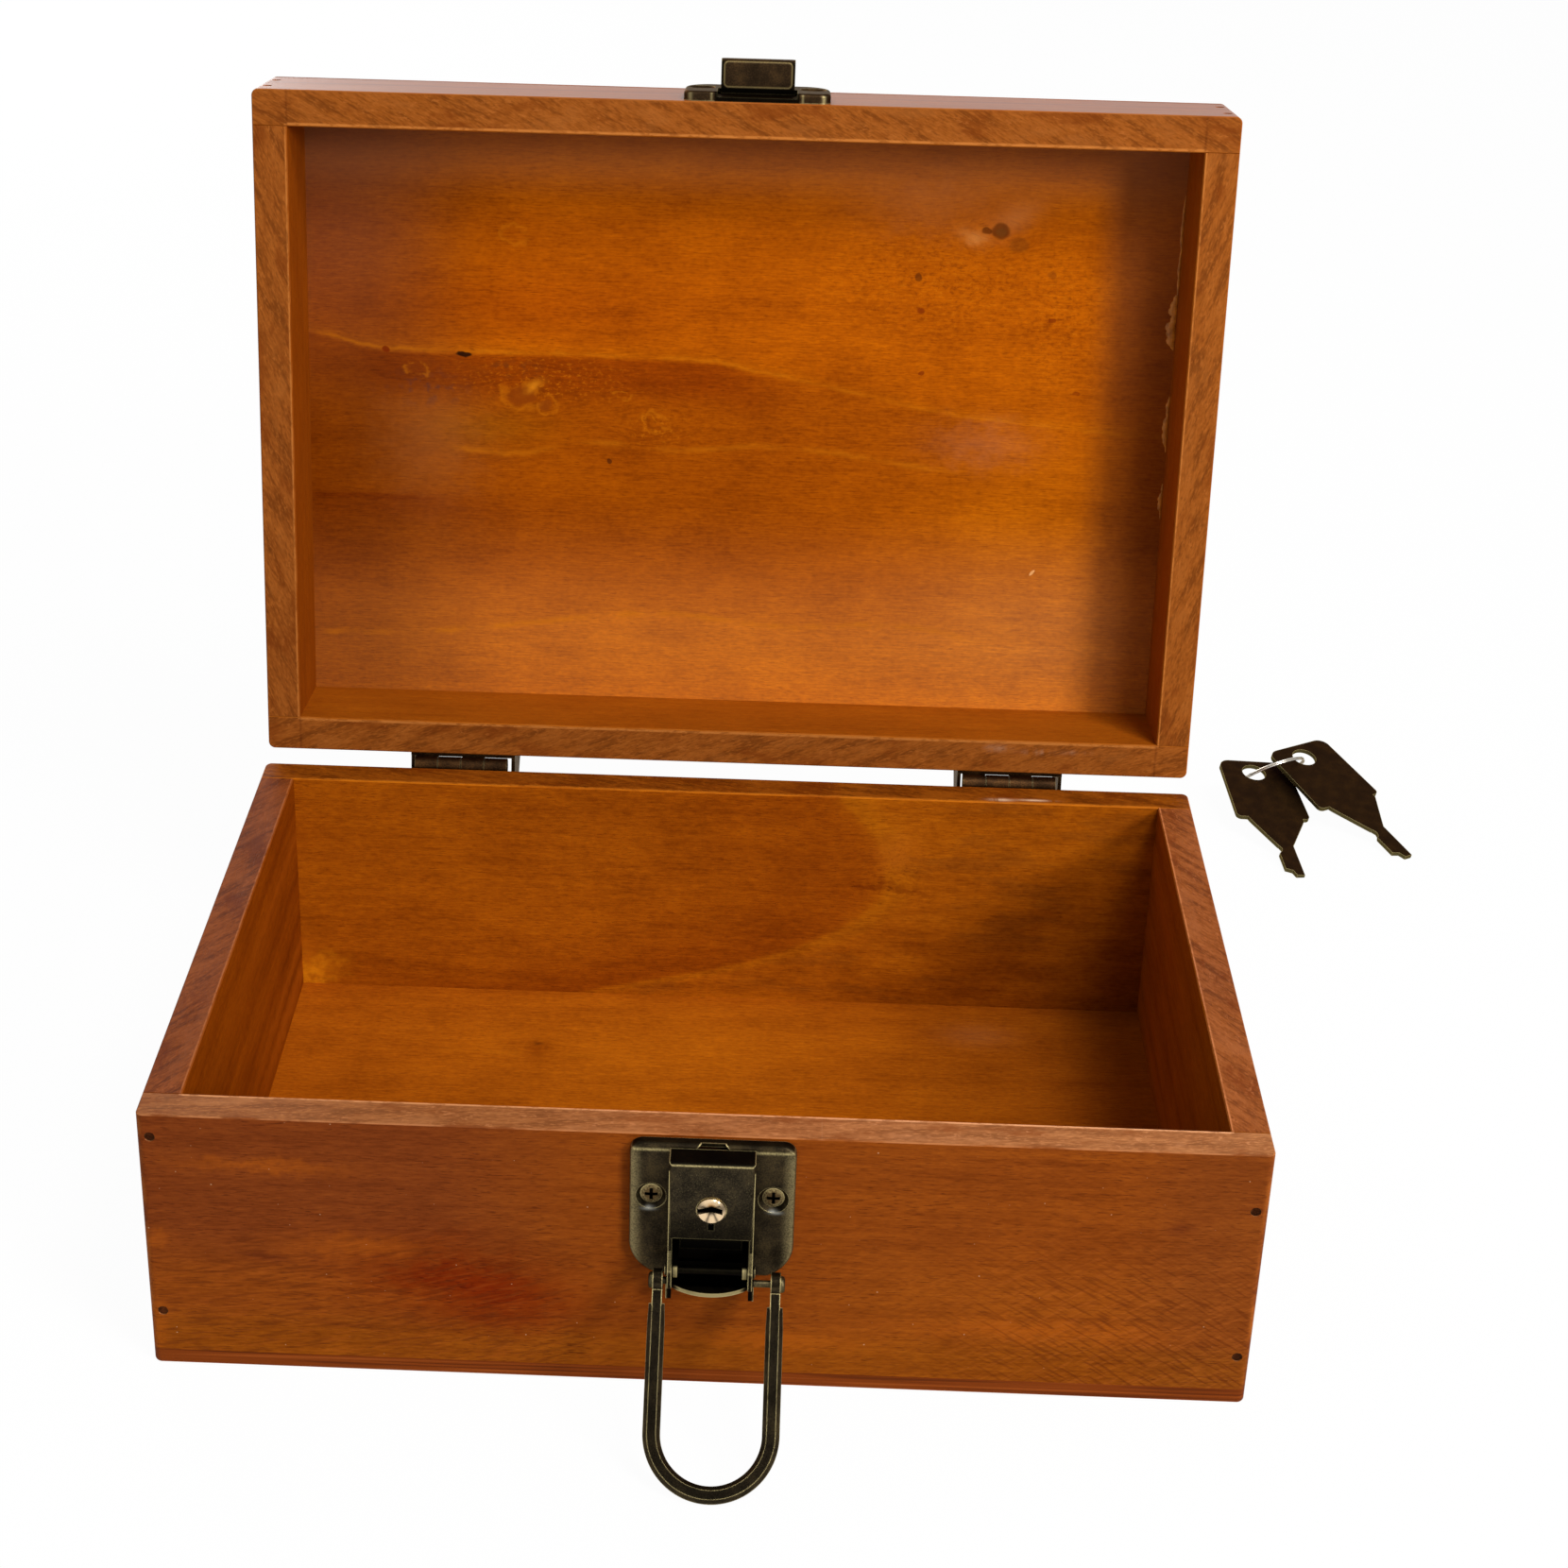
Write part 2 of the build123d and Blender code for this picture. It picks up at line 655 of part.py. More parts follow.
def lock_cam():
    """Flat finger that swings behind the plate's skin when the key turns."""
    x = hardware_offset
    hub = Circle(cam_hub_radius)
    finger = Pos(0, -cam_reach / 2) * Rectangle(cam_width, cam_reach)
    tip = fillet(finger.vertices().sort_by(Axis.Y)[:2], cam_width / 4)
    outline = Pos(x, lock_height) * (hub + tip)
    cam = extrude(front.offset(cam_out) * outline, amount=cam_thickness)
    return cam - rod(front, x, lock_height, 0, cylinder_back, tail_radius + running_clearance)


def lock_cam_clip():
    """Spring clip that keeps the cam on the tail."""
    x = hardware_offset
    clip = rod(front, x, lock_height, clip_out, clip_out + clip_thickness, clip_radius)
    clip = clip - rod(front, x, lock_height, 0, cylinder_back, tail_radius + running_clearance)
    y0, y1 = -half_depth - clip_out - 1, -half_depth - clip_out + 0.1
    half = tail_radius * 0.7
    return clip - block(x - half, x + half, y0, y1, lock_height, lock_height + clip_radius + 1)


def bail_rest_angle():
    """Lean of the bail from straight down at which its end just meets the table."""
    corners = ((bail_length, bail_wire_thickness / 2 - bail_bevel),
               (bail_length - bail_bevel, bail_wire_thickness / 2))
    return max(atan2(t, s) + acos(bail_pin_height / hypot(s, t)) for s, t in corners)


def bail_section(u, s, wide, thick, bevel):
    """Bevelled rectangle square to an arm of the bail."""
    a, b = wide / 2, thick / 2
    points = [(a, b - bevel), (a - bevel, b), (bevel - a, b), (-a, b - bevel),
              (-a, bevel - b), (bevel - a, -b), (a - bevel, -b), (a, bevel - b)]
    plane = Plane(origin=(u, s, 0), x_dir=(1, 0, 0), z_dir=(0, 1, 0))
    return plane * make_face(Polyline(points, close=True))


def bail():
    """Bevelled U with shoulders, thin necks and pierced eyes, laid against the table."""
    wire = (bail_wire_width, bail_wire_thickness, bail_bevel)
    bow_start = bail_length - bail_wire_width / 2 - bail_arm_half
    shoulder_end = bail_neck_length + bail_shoulder_length
    section = bail_section(bail_arm_half, bow_start, *wire)
    made = revolve(section, Axis((0, bow_start, 0), (0, 0, 1)), 180)
    eye_half = bail_neck_width / 2
    for s in (-1, 1):
        u = s * bail_arm_half
        arm = extrude(bail_section(u, shoulder_end, *wire), amount=bow_start - shoulder_end)
        small = bail_section(u, bail_neck_length, bail_shoulder_width, bail_neck_thickness, 0.7)
        shoulder = loft([small, bail_section(u, shoulder_end, *wire)])
        neck_u = s * (bail_arm_half - bail_neck_inset)
        neck = block(neck_u - eye_half, neck_u + eye_half, 0, bail_neck_length + 0.5,
                     -bail_neck_thickness / 2, bail_neck_thickness / 2)
        turned = Plane(origin=(neck_u - eye_half, 0, 0), x_dir=(0, 1, 0), z_dir=(1, 0, 0))
        eye = turned * Cylinder(bail_eye_radius, bail_neck_width, align=flush)
        hole = turned * Cylinder(bail_pin_radius + running_clearance, bail_neck_width, align=flush)
        made = made + arm + shoulder + neck + eye - hole
    angle = bail_rest_angle()
    origin = (bail_x, -half_depth - bail_pin_place, bail_pin_height)
    return Plane(origin=origin, x_dir=(1, 0, 0), z_dir=(0, cos(angle), -sin(angle))) * made


def bail_pins():
    """Two headed pins from the bail's eyes into the lever's flanges."""
    pins = []
    for s in (-1, 1):
        inner = hardware_offset + s * (lever_half - lever_sheet - bail_pin_overhang)
        eye_out = bail_x + s * (bail_arm_half - bail_neck_inset + bail_neck_width / 2)
        x0, x1 = sorted((inner, eye_out))
        pin = cross_bar(x0, x1, bail_pin_place, bail_pin_height, bail_pin_radius)
        x0, x1 = sorted((eye_out + s * 0.05, eye_out + s * bail_pin_head_length))
        head = cross_bar(x0, x1, bail_pin_place, bail_pin_height, bail_pin_head_radius)
        rim = head.edges().sort_by(Axis.X)[0 if s < 0 else -1]
        neck_gap = cross_bar(*sorted((eye_out, eye_out + s * 0.1)), bail_pin_place,
                             bail_pin_height, bail_pin_radius)
        pins.append(pin + neck_gap + fillet(rim, 0.6))
    return pins


def striker_plate():
    """Dished plate on the lid with a notched lower edge and a turned-up hook for the bail."""
    x = striker_x
    face = -half_depth - striker_depth
    end = striker_bottom + striker_height
    plate = dished_plate(x, striker_bottom, striker_taper_start, end, striker_depth,
                         striker_half_width)
    for sx, sz, _ in striker_screws():
        boss, sink = dimple(sx, sz, striker_depth)
        plate = plate + boss - sink
    top = striker_bottom + pocket_height
    plate = plate - block(x - pocket_half, x + pocket_half, face - 1, -half_depth - hook_sheet,
                          striker_bottom - 1, top)
    plate = plate + block(x - pocket_half, x + pocket_half, -half_depth - hook_sheet,
                          -half_depth, striker_bottom, top)
    z0 = hook_height
    lip_top = z0 + hook_sheet + hook_lip
    points = [(0.5, z0), (hook_reach, z0), (hook_reach, lip_top),
              (hook_reach - hook_sheet, lip_top), (hook_reach - hook_sheet, z0 + hook_sheet),
              (0.5, z0 + hook_sheet)]
    profile = make_face(Polyline(points, close=True))
    bend = [v for v in profile.vertices() if abs(v.X - hook_reach) + abs(v.Y - z0) < 1e-6]
    hook = side_sheet(fillet(bend, hook_sheet), x - hook_half, x + hook_half)
    corners = hook.edges().filter_by(Axis.Y).group_by(Axis.Z)[-1]
    walls = []
    for s in (-1, 1):
        x0, x1 = sorted((x + s * (pocket_half - 0.05), x + s * (pocket_half + plate_skin)))
        walls.append(block(x0, x1, face + plate_skin / 2, -half_depth,
                           striker_bottom + plate_skin / 2, top))
    return plate + walls + fillet(corners, 1.0)


def key_outline():
    """Key seen flat: bow at the top, shoulders, a tapering neck and a notched, forked tip."""
    w, tip = key_bow_width / 2, key_length
    bow_end = key_bow_length
    blade = key_blade_width / 2
    quad = make_face(Polyline([(-w * 0.94, 0), (w * 0.94, 0), (w, bow_end - key_bow_flare),
                               (-w, bow_end - key_bow_flare)], close=True))
    quad = fillet(quad.vertices().group_by(Axis.Y)[0], key_bow_round)
    quad = fillet(quad.vertices().group_by(Axis.Y)[-1], key_shoulder_round)
    neck = bow_end - key_neck_start
    stem_start = tip - key_stem_length
    taper = make_face(Polyline([(-w * 0.78, neck), (w * 0.78, neck), (w * 0.66, bow_end),
                                (blade * 0.78, stem_start + 0.5), (-blade, stem_start + 0.5),
                                (-w * 0.8, bow_end - 0.4)], close=True))
    stem = make_face(Polyline([(-blade, stem_start), (blade * 0.78, stem_start),
                               (blade * 0.5, tip - key_notch_start),
                               (blade * 0.6, tip - key_notch_middle),
                               (blade, tip - key_notch_end), (blade, tip - key_tip_side),
                               (blade * 0.2, tip - key_tip_notch),
                               (-blade * 0.1, tip), (-blade, tip)], close=True))
    hole = Pos(key_hole_shift, key_hole_inset) * Circle(key_hole_radius)
    return quad + taper + stem - hole


def placed_key(hole, turn, roll):
    """Key whose tip lies on the table and whose ring hole is at the given place."""
    run = key_length - key_hole_inset
    tilt = asin((hole[2] - key_thickness / 2) / run)
    flat = extrude(key_outline(), amount=key_thickness)
    flat = Pos(-key_hole_shift, -key_hole_inset, -key_thickness / 2) * flat
    way = Rot(0, 0, 180 + turn) * Rot(-degrees(tilt), 0, 0) * Rot(0, roll, 0)
    return Pos(*hole) * way * flat


def key_ring():
    """Round wire ring through both keys, low at the back and rising over them in front."""
    a, b = Vector(*first_key_hole), Vector(*second_key_hole)
    middle = (a + b) * 0.5
    chord = (b - a)
    along = chord.normalized()
    rise = radians(key_ring_angle)
    level = Vector(along.Y, -along.X, 0).normalized()
    forward = level * cos(rise) + Vector(0, 0, 1) * sin(rise)
    drop = sqrt(key_ring_radius**2 - (chord.length / 2) ** 2) - key_ring_lift
    centre = middle - forward * drop
    normal = along.cross(forward)
    return Plane(origin=centre, x_dir=along, z_dir=normal) * Torus(key_ring_radius, key_wire_radius)


def write(name, shape):
    """One STEP file for one node; a list is a group of separate solids."""
    shape = Compound(children=list(shape)) if isinstance(shape, list) else shape
    export_step(shape, f"parts/{name}.step")


def main():
    os.makedirs("parts", exist_ok=True)
    still = body_boards()
    lid = lid_boards()
    nails = all_nails()
    lid["lid_nails"] = nails.pop("lid_nails")
    still.update(nails)
    for side in hinge_places:
        seat, head = leaf_thickness, hinge_screw_head_radius
        still[f"{side}_hinge_body_leaf"] = hinge_leaf(side, -1)
        lid[f"{side}_hinge_lid_leaf"] = hinge_leaf(side, 1)
        still[f"{side}_hinge_pin"] = hinge_pin(side)
        still[f"{side}_hinge_body_screws"] = [screw(back, -x, z, seat, head)
                                              for x, z in hinge_screws(side, -1)]
        lid[f"{side}_hinge_lid_screws"] = [screw(back, -x, z, seat, head)
                                           for x, z in hinge_screws(side, 1)]
    lid["striker_plate"] = striker_plate()
    lid["striker_screws"] = [screw(front, x, z, seat, screw_head_radius)
                             for x, z, seat in striker_screws()]
    still["latch_base_plate"] = latch_base_plate()
    still["latch_screws"] = [screw(front, x, z, seat, screw_head_radius)
                             for x, z, seat in plate_screws()]
    still["latch_pivot_pin"] = latch_pivot_pin()
    still["latch_lever"] = latch_lever()
    still["lock_housing"] = lock_housing()
    still["key_cylinder"] = key_cylinder()
    still["lock_cam"] = lock_cam()
    still["lock_cam_clip"] = lock_cam_clip()
    still["bail_pins"] = bail_pins()
    still["bail"] = bail()
    still["key_1"] = placed_key(first_key_hole, first_key_angle, first_key_roll_angle)
    still["key_2"] = placed_key(second_key_hole, second_key_angle, second_key_roll_angle)
    still["key_ring"] = key_ring()
    for name, shape in still.items():
        write(name, shape)
    for name, shape in lid.items():
        opened = [open_lid(s) for s in shape] if isinstance(shape, list) else open_lid(shape)
        write(name, opened)
    print("bail leans", round(degrees(bail_rest_angle()), 2), "degrees from straight down")


main()
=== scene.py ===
"""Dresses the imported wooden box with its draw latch, hinges and keys, and sets the stage around it."""

import math

import bpy
import numpy as np
from bpy.props import FloatProperty, FloatVectorProperty, IntProperty, PointerProperty
from mathutils import Matrix


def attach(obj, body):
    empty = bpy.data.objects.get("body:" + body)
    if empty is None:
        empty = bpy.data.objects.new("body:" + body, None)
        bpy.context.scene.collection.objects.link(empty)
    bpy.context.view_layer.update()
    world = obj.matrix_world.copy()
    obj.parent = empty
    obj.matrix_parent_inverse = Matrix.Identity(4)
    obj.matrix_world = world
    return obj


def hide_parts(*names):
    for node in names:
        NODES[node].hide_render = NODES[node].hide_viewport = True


bl_info = {
    "name": "Wooden Box Dresser",
    "version": (1, 0, 0),
    "blender": (4, 5, 0),
    "location": "View3D > Sidebar > Wooden Box",
    "description": "Stained boards, worn bronze fittings and a pale studio for a small hinged box",
    "category": "Object",
}

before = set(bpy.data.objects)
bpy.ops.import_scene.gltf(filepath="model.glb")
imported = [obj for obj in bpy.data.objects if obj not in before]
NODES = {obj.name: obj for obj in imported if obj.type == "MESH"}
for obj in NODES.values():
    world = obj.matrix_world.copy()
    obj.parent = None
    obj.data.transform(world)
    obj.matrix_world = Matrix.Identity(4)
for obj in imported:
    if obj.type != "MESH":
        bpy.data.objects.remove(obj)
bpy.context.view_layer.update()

# Where the lid turns, in millimetres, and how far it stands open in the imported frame
HINGE_Y, HINGE_Z, LID_ANGLE = 83.65, 61.85, math.radians(97.5)

# In millimetres from the box's middle: its ends, and the bevelled inner edges of its rims
HALF_LENGTH = 115
WALL_X, WALL_Y = 106.9, 72.6

# The middles of the latch and of the striker, and the inner face of the shut lid's panel, in millimetres
LATCH_X = 2.2
STRIKER_X = 2.7
PANEL_FACE = 88.5

# The latch's screws, to each side of its middle and above the table, and the middles of its lock and slot
SCREW_ASIDE, SCREW_Z = 12.4, 49
LOCK_Z, SLOT_Z = 50.1, 46.6

# How much of a face's direction points up where it starts to count as level, and where it wholly does
LEVEL = (0.86, 0.96)
MM_PER_M = 1000

# How far one seed's grain lies from the next one's in millimetres: along, across and through the board
SEED_STEPS = (37, 11, 5)


def tint(red, green, blue):
    """Turns a screen colour of 0 to 255 into the linear colour that the shaders work in."""
    channels = []
    for value in (red, green, blue):
        value = value / 255
        channels.append(value / 12.92 if value <= 0.04045 else ((value + 0.055) / 1.055) ** 2.4)
    return (*channels, 1)


def shaded(colour, shares):
    """A colour with each of its channels times its share."""
    return (*(channel * share for channel, share in zip(colour, shares)), 1)


class Shade:
    """One socket of a node tree. Arithmetic on it adds Math nodes, or Vector Math nodes for a vector."""

    def __init__(self, graph, socket):
        self.graph = graph
        self.socket = socket
        self.is_vector = socket.type in {"VECTOR", "RGBA"}

    def __add__(self, other):
        return self.graph.maths("ADD", self, other)

    def __radd__(self, other):
        return self.graph.maths("ADD", other, self)

    def __sub__(self, other):
        return self.graph.maths("SUBTRACT", self, other)

    def __rsub__(self, other):
        return self.graph.maths("SUBTRACT", other, self)

    def __mul__(self, other):
        return self.graph.maths("MULTIPLY", self, other)

    def __rmul__(self, other):
        return self.graph.maths("MULTIPLY", other, self)

    def __truediv__(self, other):
        return self.graph.maths("DIVIDE", self, other)

    def __rtruediv__(self, other):
        return self.graph.maths("DIVIDE", other, self)

    def __neg__(self):
        return self.graph.maths("MULTIPLY", self, -1)

    def __abs__(self):
        return self.graph.maths("ABSOLUTE", self)


class Graph:
    """A node tree, built up from expressions on Shade values."""

    def __init__(self, tree):
        self.tree = tree
        tree.nodes.clear()

    def feed(self, socket, value):
        """Gives a socket its value: a link from a Shade, or a plain number, colour or vector."""
        if isinstance(value, Shade):
            self.tree.links.new(value.socket, socket)
        elif socket.type == "VECTOR" and isinstance(value, (int, float)):
            socket.default_value = (value, value, value)
        else:
            socket.default_value = value

    def node(self, kind, settings=None, sockets=None, output=0):
        """Adds any node: its settings first, then its sockets by name or number. Returns one output."""
        made = self.tree.nodes.new(kind)
        for name, value in (settings or {}).items():
            if name == "stops":
                self.set_stops(made.color_ramp, value)
            elif name == "interpolation":
                made.color_ramp.interpolation = value
            else:
                setattr(made, name, value)
        for name, value in (sockets or {}).items():
            self.feed(made.inputs[name], value)
        return Shade(self, made.outputs[output]) if made.outputs else None

    @staticmethod
    def set_stops(color_ramp, stops):
        """Puts (place, colour) stops on a ramp; a plain number stands for a grey."""
        while len(color_ramp.elements) > 1:
            color_ramp.elements.remove(color_ramp.elements[-1])
        for number, (place, colour) in enumerate(stops):
            stop = color_ramp.elements[0] if number == 0 else color_ramp.elements.new(place)
            stop.position = place
            stop.color = colour if isinstance(colour, tuple) else (colour, colour, colour, 1)

    def maths(self, operation, first, second=None):
        """A Math node, or a Vector Math node where either value is a vector."""
        values = [value for value in (first, second) if value is not None]
        vectors = [value for value in values if isinstance(value, Shade) and value.is_vector]
        kind = "ShaderNodeVectorMath" if vectors else "ShaderNodeMath"
        return self.node(kind, {"operation": operation}, dict(enumerate(values)))

    def low(self, first, second):
        """The lesser of two values."""
        return self.maths("MINIMUM", first, second)

    def high(self, first, second):
        """The greater of two values."""
        return self.maths("MAXIMUM", first, second)

    def step(self, value, start, end, low=0, high=1):
        """Goes smoothly from low to high while the value goes from start to end."""
        sockets = {"Value": value, "From Min": start, "From Max": end, "To Min": low, "To Max": high}
        return self.node("ShaderNodeMapRange", {"interpolation_type": "SMOOTHSTEP"}, sockets)

    def hump(self, value):
        """exp(-value squared): 1 where the value is 0, fading to 0 on both sides."""
        return self.maths("EXPONENT", -(value * value))

    def vector(self, x, y, z):
        """A vector made of three values."""
        return self.node("ShaderNodeCombineXYZ", None, {"X": x, "Y": y, "Z": z})

    def parts(self, vector):
        """The X, Y and Z of a vector as three Shades."""
        split = self.node("ShaderNodeSeparateXYZ", None, {0: vector}).socket.node
        return [Shade(self, output) for output in split.outputs]

    def mix(self, factor, first, second, blend="MIX"):
        """One colour over another. Sockets 6 and 7 are the node's two colours, and output 2 is its colour."""
        settings = {"data_type": "RGBA", "blend_type": blend, "clamp_factor": True}
        return self.node("ShaderNodeMix", settings, {0: factor, 6: first, 7: second}, output=2)

    def noise(self, vector, scale=1, detail=2, rough=0.5, output=0):
        """Smooth noise around 0.5."""
        sockets = {"Vector": vector, "Scale": scale, "Detail": detail, "Roughness": rough}
        return self.node("ShaderNodeTexNoise", {"noise_dimensions": "3D"}, sockets, output)

    def seen_plainly(self):
        """1 for what the camera, a reflection or a view through something sees, and 0 for the lighting."""
        rays = [self.node("ShaderNodeLightPath", output=name)
                for name in ("Is Camera Ray", "Is Glossy Ray", "Is Transmission Ray")]
        return self.high(rays[0], self.high(rays[1], rays[2]))

    def blend(self, factor, first, second):
        """One shader over another."""
        return self.node("ShaderNodeMixShader", None, {0: factor, 1: first, 2: second})


class Finish(Graph):
    """One material and its surface shader."""

    def __init__(self, name, roughness=0.5, metallic=0, gloss=0.5, coat_roughness=0.03):
        self.material = bpy.data.materials.new(name)
        self.material.use_nodes = True
        super().__init__(self.material.node_tree)
        fixed = {"Roughness": roughness, "Metallic": metallic, "Specular IOR Level": gloss,
                 "Coat Roughness": coat_roughness}
        self.surface = self.node("ShaderNodeBsdfPrincipled", None, fixed)
        self.roughness = roughness
        self.colour = None

    def wash(self, mask, shares):
        """Multiplies the colour by these shares under a mask."""
        self.colour = self.mix(mask, self.colour, (*shares, 1), "MULTIPLY")

    def paint(self, mask, colour):
        """Covers the surface with a colour under a mask."""
        self.colour = self.mix(mask, self.colour, colour)

    def place(self):
        """Object coordinates in millimetres."""
        made = self.node("ShaderNodeTexCoord", output="Object")
        return self.node("ShaderNodeVectorMath", {"operation": "SCALE"}, {0: made, "Scale": MM_PER_M})

    def facing(self):
        """The way that the surface faces, in the piece's own frame."""
        return self.node("ShaderNodeTexCoord", output="Normal")

    def along(self, vector, direction):
        """How far a vector goes in a direction."""
        sockets = {0: vector, 1: direction}
        return self.node("ShaderNodeVectorMath", {"operation": "DOT_PRODUCT"}, sockets, "Value")

    def close_lid(self, vector, centre=(0, HINGE_Y, HINGE_Z)):
        """Turns a place or a direction on the open lid back to where it is when the lid is shut."""
        sockets = {"Vector": vector, "Center": centre, "Angle": LID_ANGLE}
        return self.node("ShaderNodeVectorRotate", {"rotation_type": "X_AXIS"}, sockets)

    def edges(self, radius, start, end):
        """1 on sharp edges and 0 on flats, from how far a rounded normal leaves the true one."""
        rounded = self.node("ShaderNodeBevel", {"samples": 6}, {"Radius": radius})
        true = self.node("ShaderNodeNewGeometry", output="True Normal")
        return self.step(1 - self.along(rounded, true), start, end)

    def finish(self, colour, height=None, depth=0.0001, shader=None, **changing):
        """Joins the changing values to the surface, by its sockets' names, and returns the material."""
        sockets = self.surface.socket.node.inputs
        self.feed(sockets["Base Color"], colour)
        for name, value in changing.items():
            self.feed(sockets[name.replace("_", " ").title()], value)
        if height is not None:
            bump = self.node("ShaderNodeBump", None, {"Strength": 1, "Distance": depth, "Height": height})
            self.feed(sockets["Normal"], bump)
        self.node("ShaderNodeOutputMaterial", None, {"Surface": shader or self.surface})
        return self.material


def dress(names, material):
    """Puts one material on every slot of the named CAD nodes, whose meshes stay as they are."""
    for name in names:
        piece = NODES[name]
        if not piece.material_slots:
            piece.data.materials.append(material)
        for holder in piece.material_slots:
            holder.material = material


BARE_WOOD = tint(186, 104, 34)
GOLD_CURL = tint(190, 104, 10)
BROWN_FLECK = tint(112, 46, 4)
BROWN_EYE = tint(74, 30, 6)
DARK_RED = tint(112, 36, 4)
GOLD = tint(198, 112, 12)
BLACK_SPOT = tint(28, 12, 4)


class Board(Finish):
    """A stained board. Its u runs with the grain, v across it on the face that is seen, and w through it."""

    def __init__(self, name, axes="xyz", lid=False, seed=0, gloss=0.05, roughness=0.5):
        super().__init__(name, roughness=roughness, gloss=gloss, coat_roughness=0.34)
        here = self.place()
        facing = self.facing()
        if lid:
            here = self.close_lid(here)
            facing = self.close_lid(facing, (0, 0, 0))
        places = dict(zip("xyz", self.parts(here)))
        self.u, self.v, self.w = (places[axis] for axis in axes)
        self.x, self.y, self.z = (places[axis] for axis in "xyz")
        self.face_x, self.face_y, self.face_z = self.parts(facing)
        self.seed = seed
        self.bend = 0
        self.raised = 0
        shifts = self.noise(self.vector(self.u / 3, self.v / 3, seed), detail=3, output=1)
        self.shift_u, self.shift_v, _ = self.parts(shifts)

    def on_u(self, start, end, low=0):
        """Goes smoothly from low to 1 while the place along the grain goes from start to end."""
        return self.step(self.u, start, end, low)

    def on_v(self, start, end, low=0):
        """Goes smoothly from low to 1 while the place across the grain goes from start to end."""
        return self.step(self.v, start, end, low)

    def level(self):
        """1 on faces that look straight up."""
        return self.step(self.face_z, *LEVEL)

    def stretched(self, along, across):
        """The place in the board, shrunk by one length along the grain and by another one across it."""
        u_step, v_step, w_step = (self.seed * step for step in SEED_STEPS)
        along_place = (self.u + u_step) / along
        across_place = (self.v + self.bend + v_step) / across
        return self.vector(along_place, across_place, (self.w + w_step) / across)

    def turned(self, centre, radii, turn, ragged):
        """Squared distance from a centre in an oval's own radii, its outline broken up by millimetres."""
        du = self.u - centre[0] + (self.shift_u - 0.5) * (ragged * 4)
        dv = self.v - centre[1] + (self.shift_v - 0.5) * (ragged * 4)
        if turn:
            du, dv = du * math.cos(turn) + dv * math.sin(turn), dv * math.cos(turn) - du * math.sin(turn)
        du, dv = du / radii[0], dv / radii[1]
        return du * du + dv * dv

    def cloud(self, centre, radii, turn=0, ragged=0.6):
        """A soft oval mask that fades out over its radii."""
        return self.maths("EXPONENT", -self.turned(centre, radii, turn, ragged))

    def spot(self, centre, radii, turn=0, ragged=0.35, soft=0.45):
        """A fairly sharp oval mask."""
        return self.step(self.turned(centre, radii, turn, ragged), 1 + soft, 1 - soft)

    def clouds(self, *rows, ragged=0.6):
        """Lays soft ovals. A row is the place, the radii, the turn, the strength, and shares or a colour."""
        for u, v, long, wide, turn, strength, tone in rows:
            mask = self.cloud((u, v), (long, wide), turn, ragged) * strength
            if len(tone) == 3:
                self.wash(mask, tone)
            else:
                self.paint(mask, tone)

    def streak(self, height, width, drift):
        """A line along the grain at a height, which drifts by millimetres."""
        return self.hump((self.v - height + (self.shift_v - 0.5) * drift) / width)

    def scuffs(self, facing, broken, colour, rows):
        """Pale scuffs on a rim. A row is the place in x and y, and the two radii."""
        for x, y, long, wide in rows:
            oval = self.hump((self.x - x) / long) * self.hump((self.y - y) / wide)
            self.paint(oval * self.step(self.shift_u, *broken) * facing, colour)

    def part_grain(self, centre, radii, strength=0.9):
        """Lets the grain part round a knot."""
        self.bend = self.bend - (self.v - centre[1]) * self.cloud(centre, radii, ragged=0) * strength

    def guide(self, run, points):
        """The height of a smooth curve through (run, height) points, along one direction of the board."""
        first, last = points[0][0], points[-1][0]
        heights = [height for _, height in points]
        low, high = min(heights) - 1, max(heights) + 1
        stops = [((place - first) / (last - first), (height - low) / (high - low))
                 for place, height in points]
        settings = {"stops": stops, "interpolation": "B_SPLINE"}
        curve = self.node("ShaderNodeValToRGB", settings, {0: (run - first) / (last - first)})
        return self.parts(curve)[0] * (high - low) + low

    def thread(self, offset, first, last, width=0.55):
        """A thin growth line where the offset is 0, between two places along the grain."""
        drift = (self.shift_v - 0.5) * 1.6
        broken = self.step(self.noise(self.stretched(9, 40), detail=3), 0.36, 0.62, 0.1, 1)
        ends = self.step(self.u, first - 1, first + 5) * self.step(self.u, last + 1, last - 8)
        return self.hump((offset + drift) / width) * ends * broken

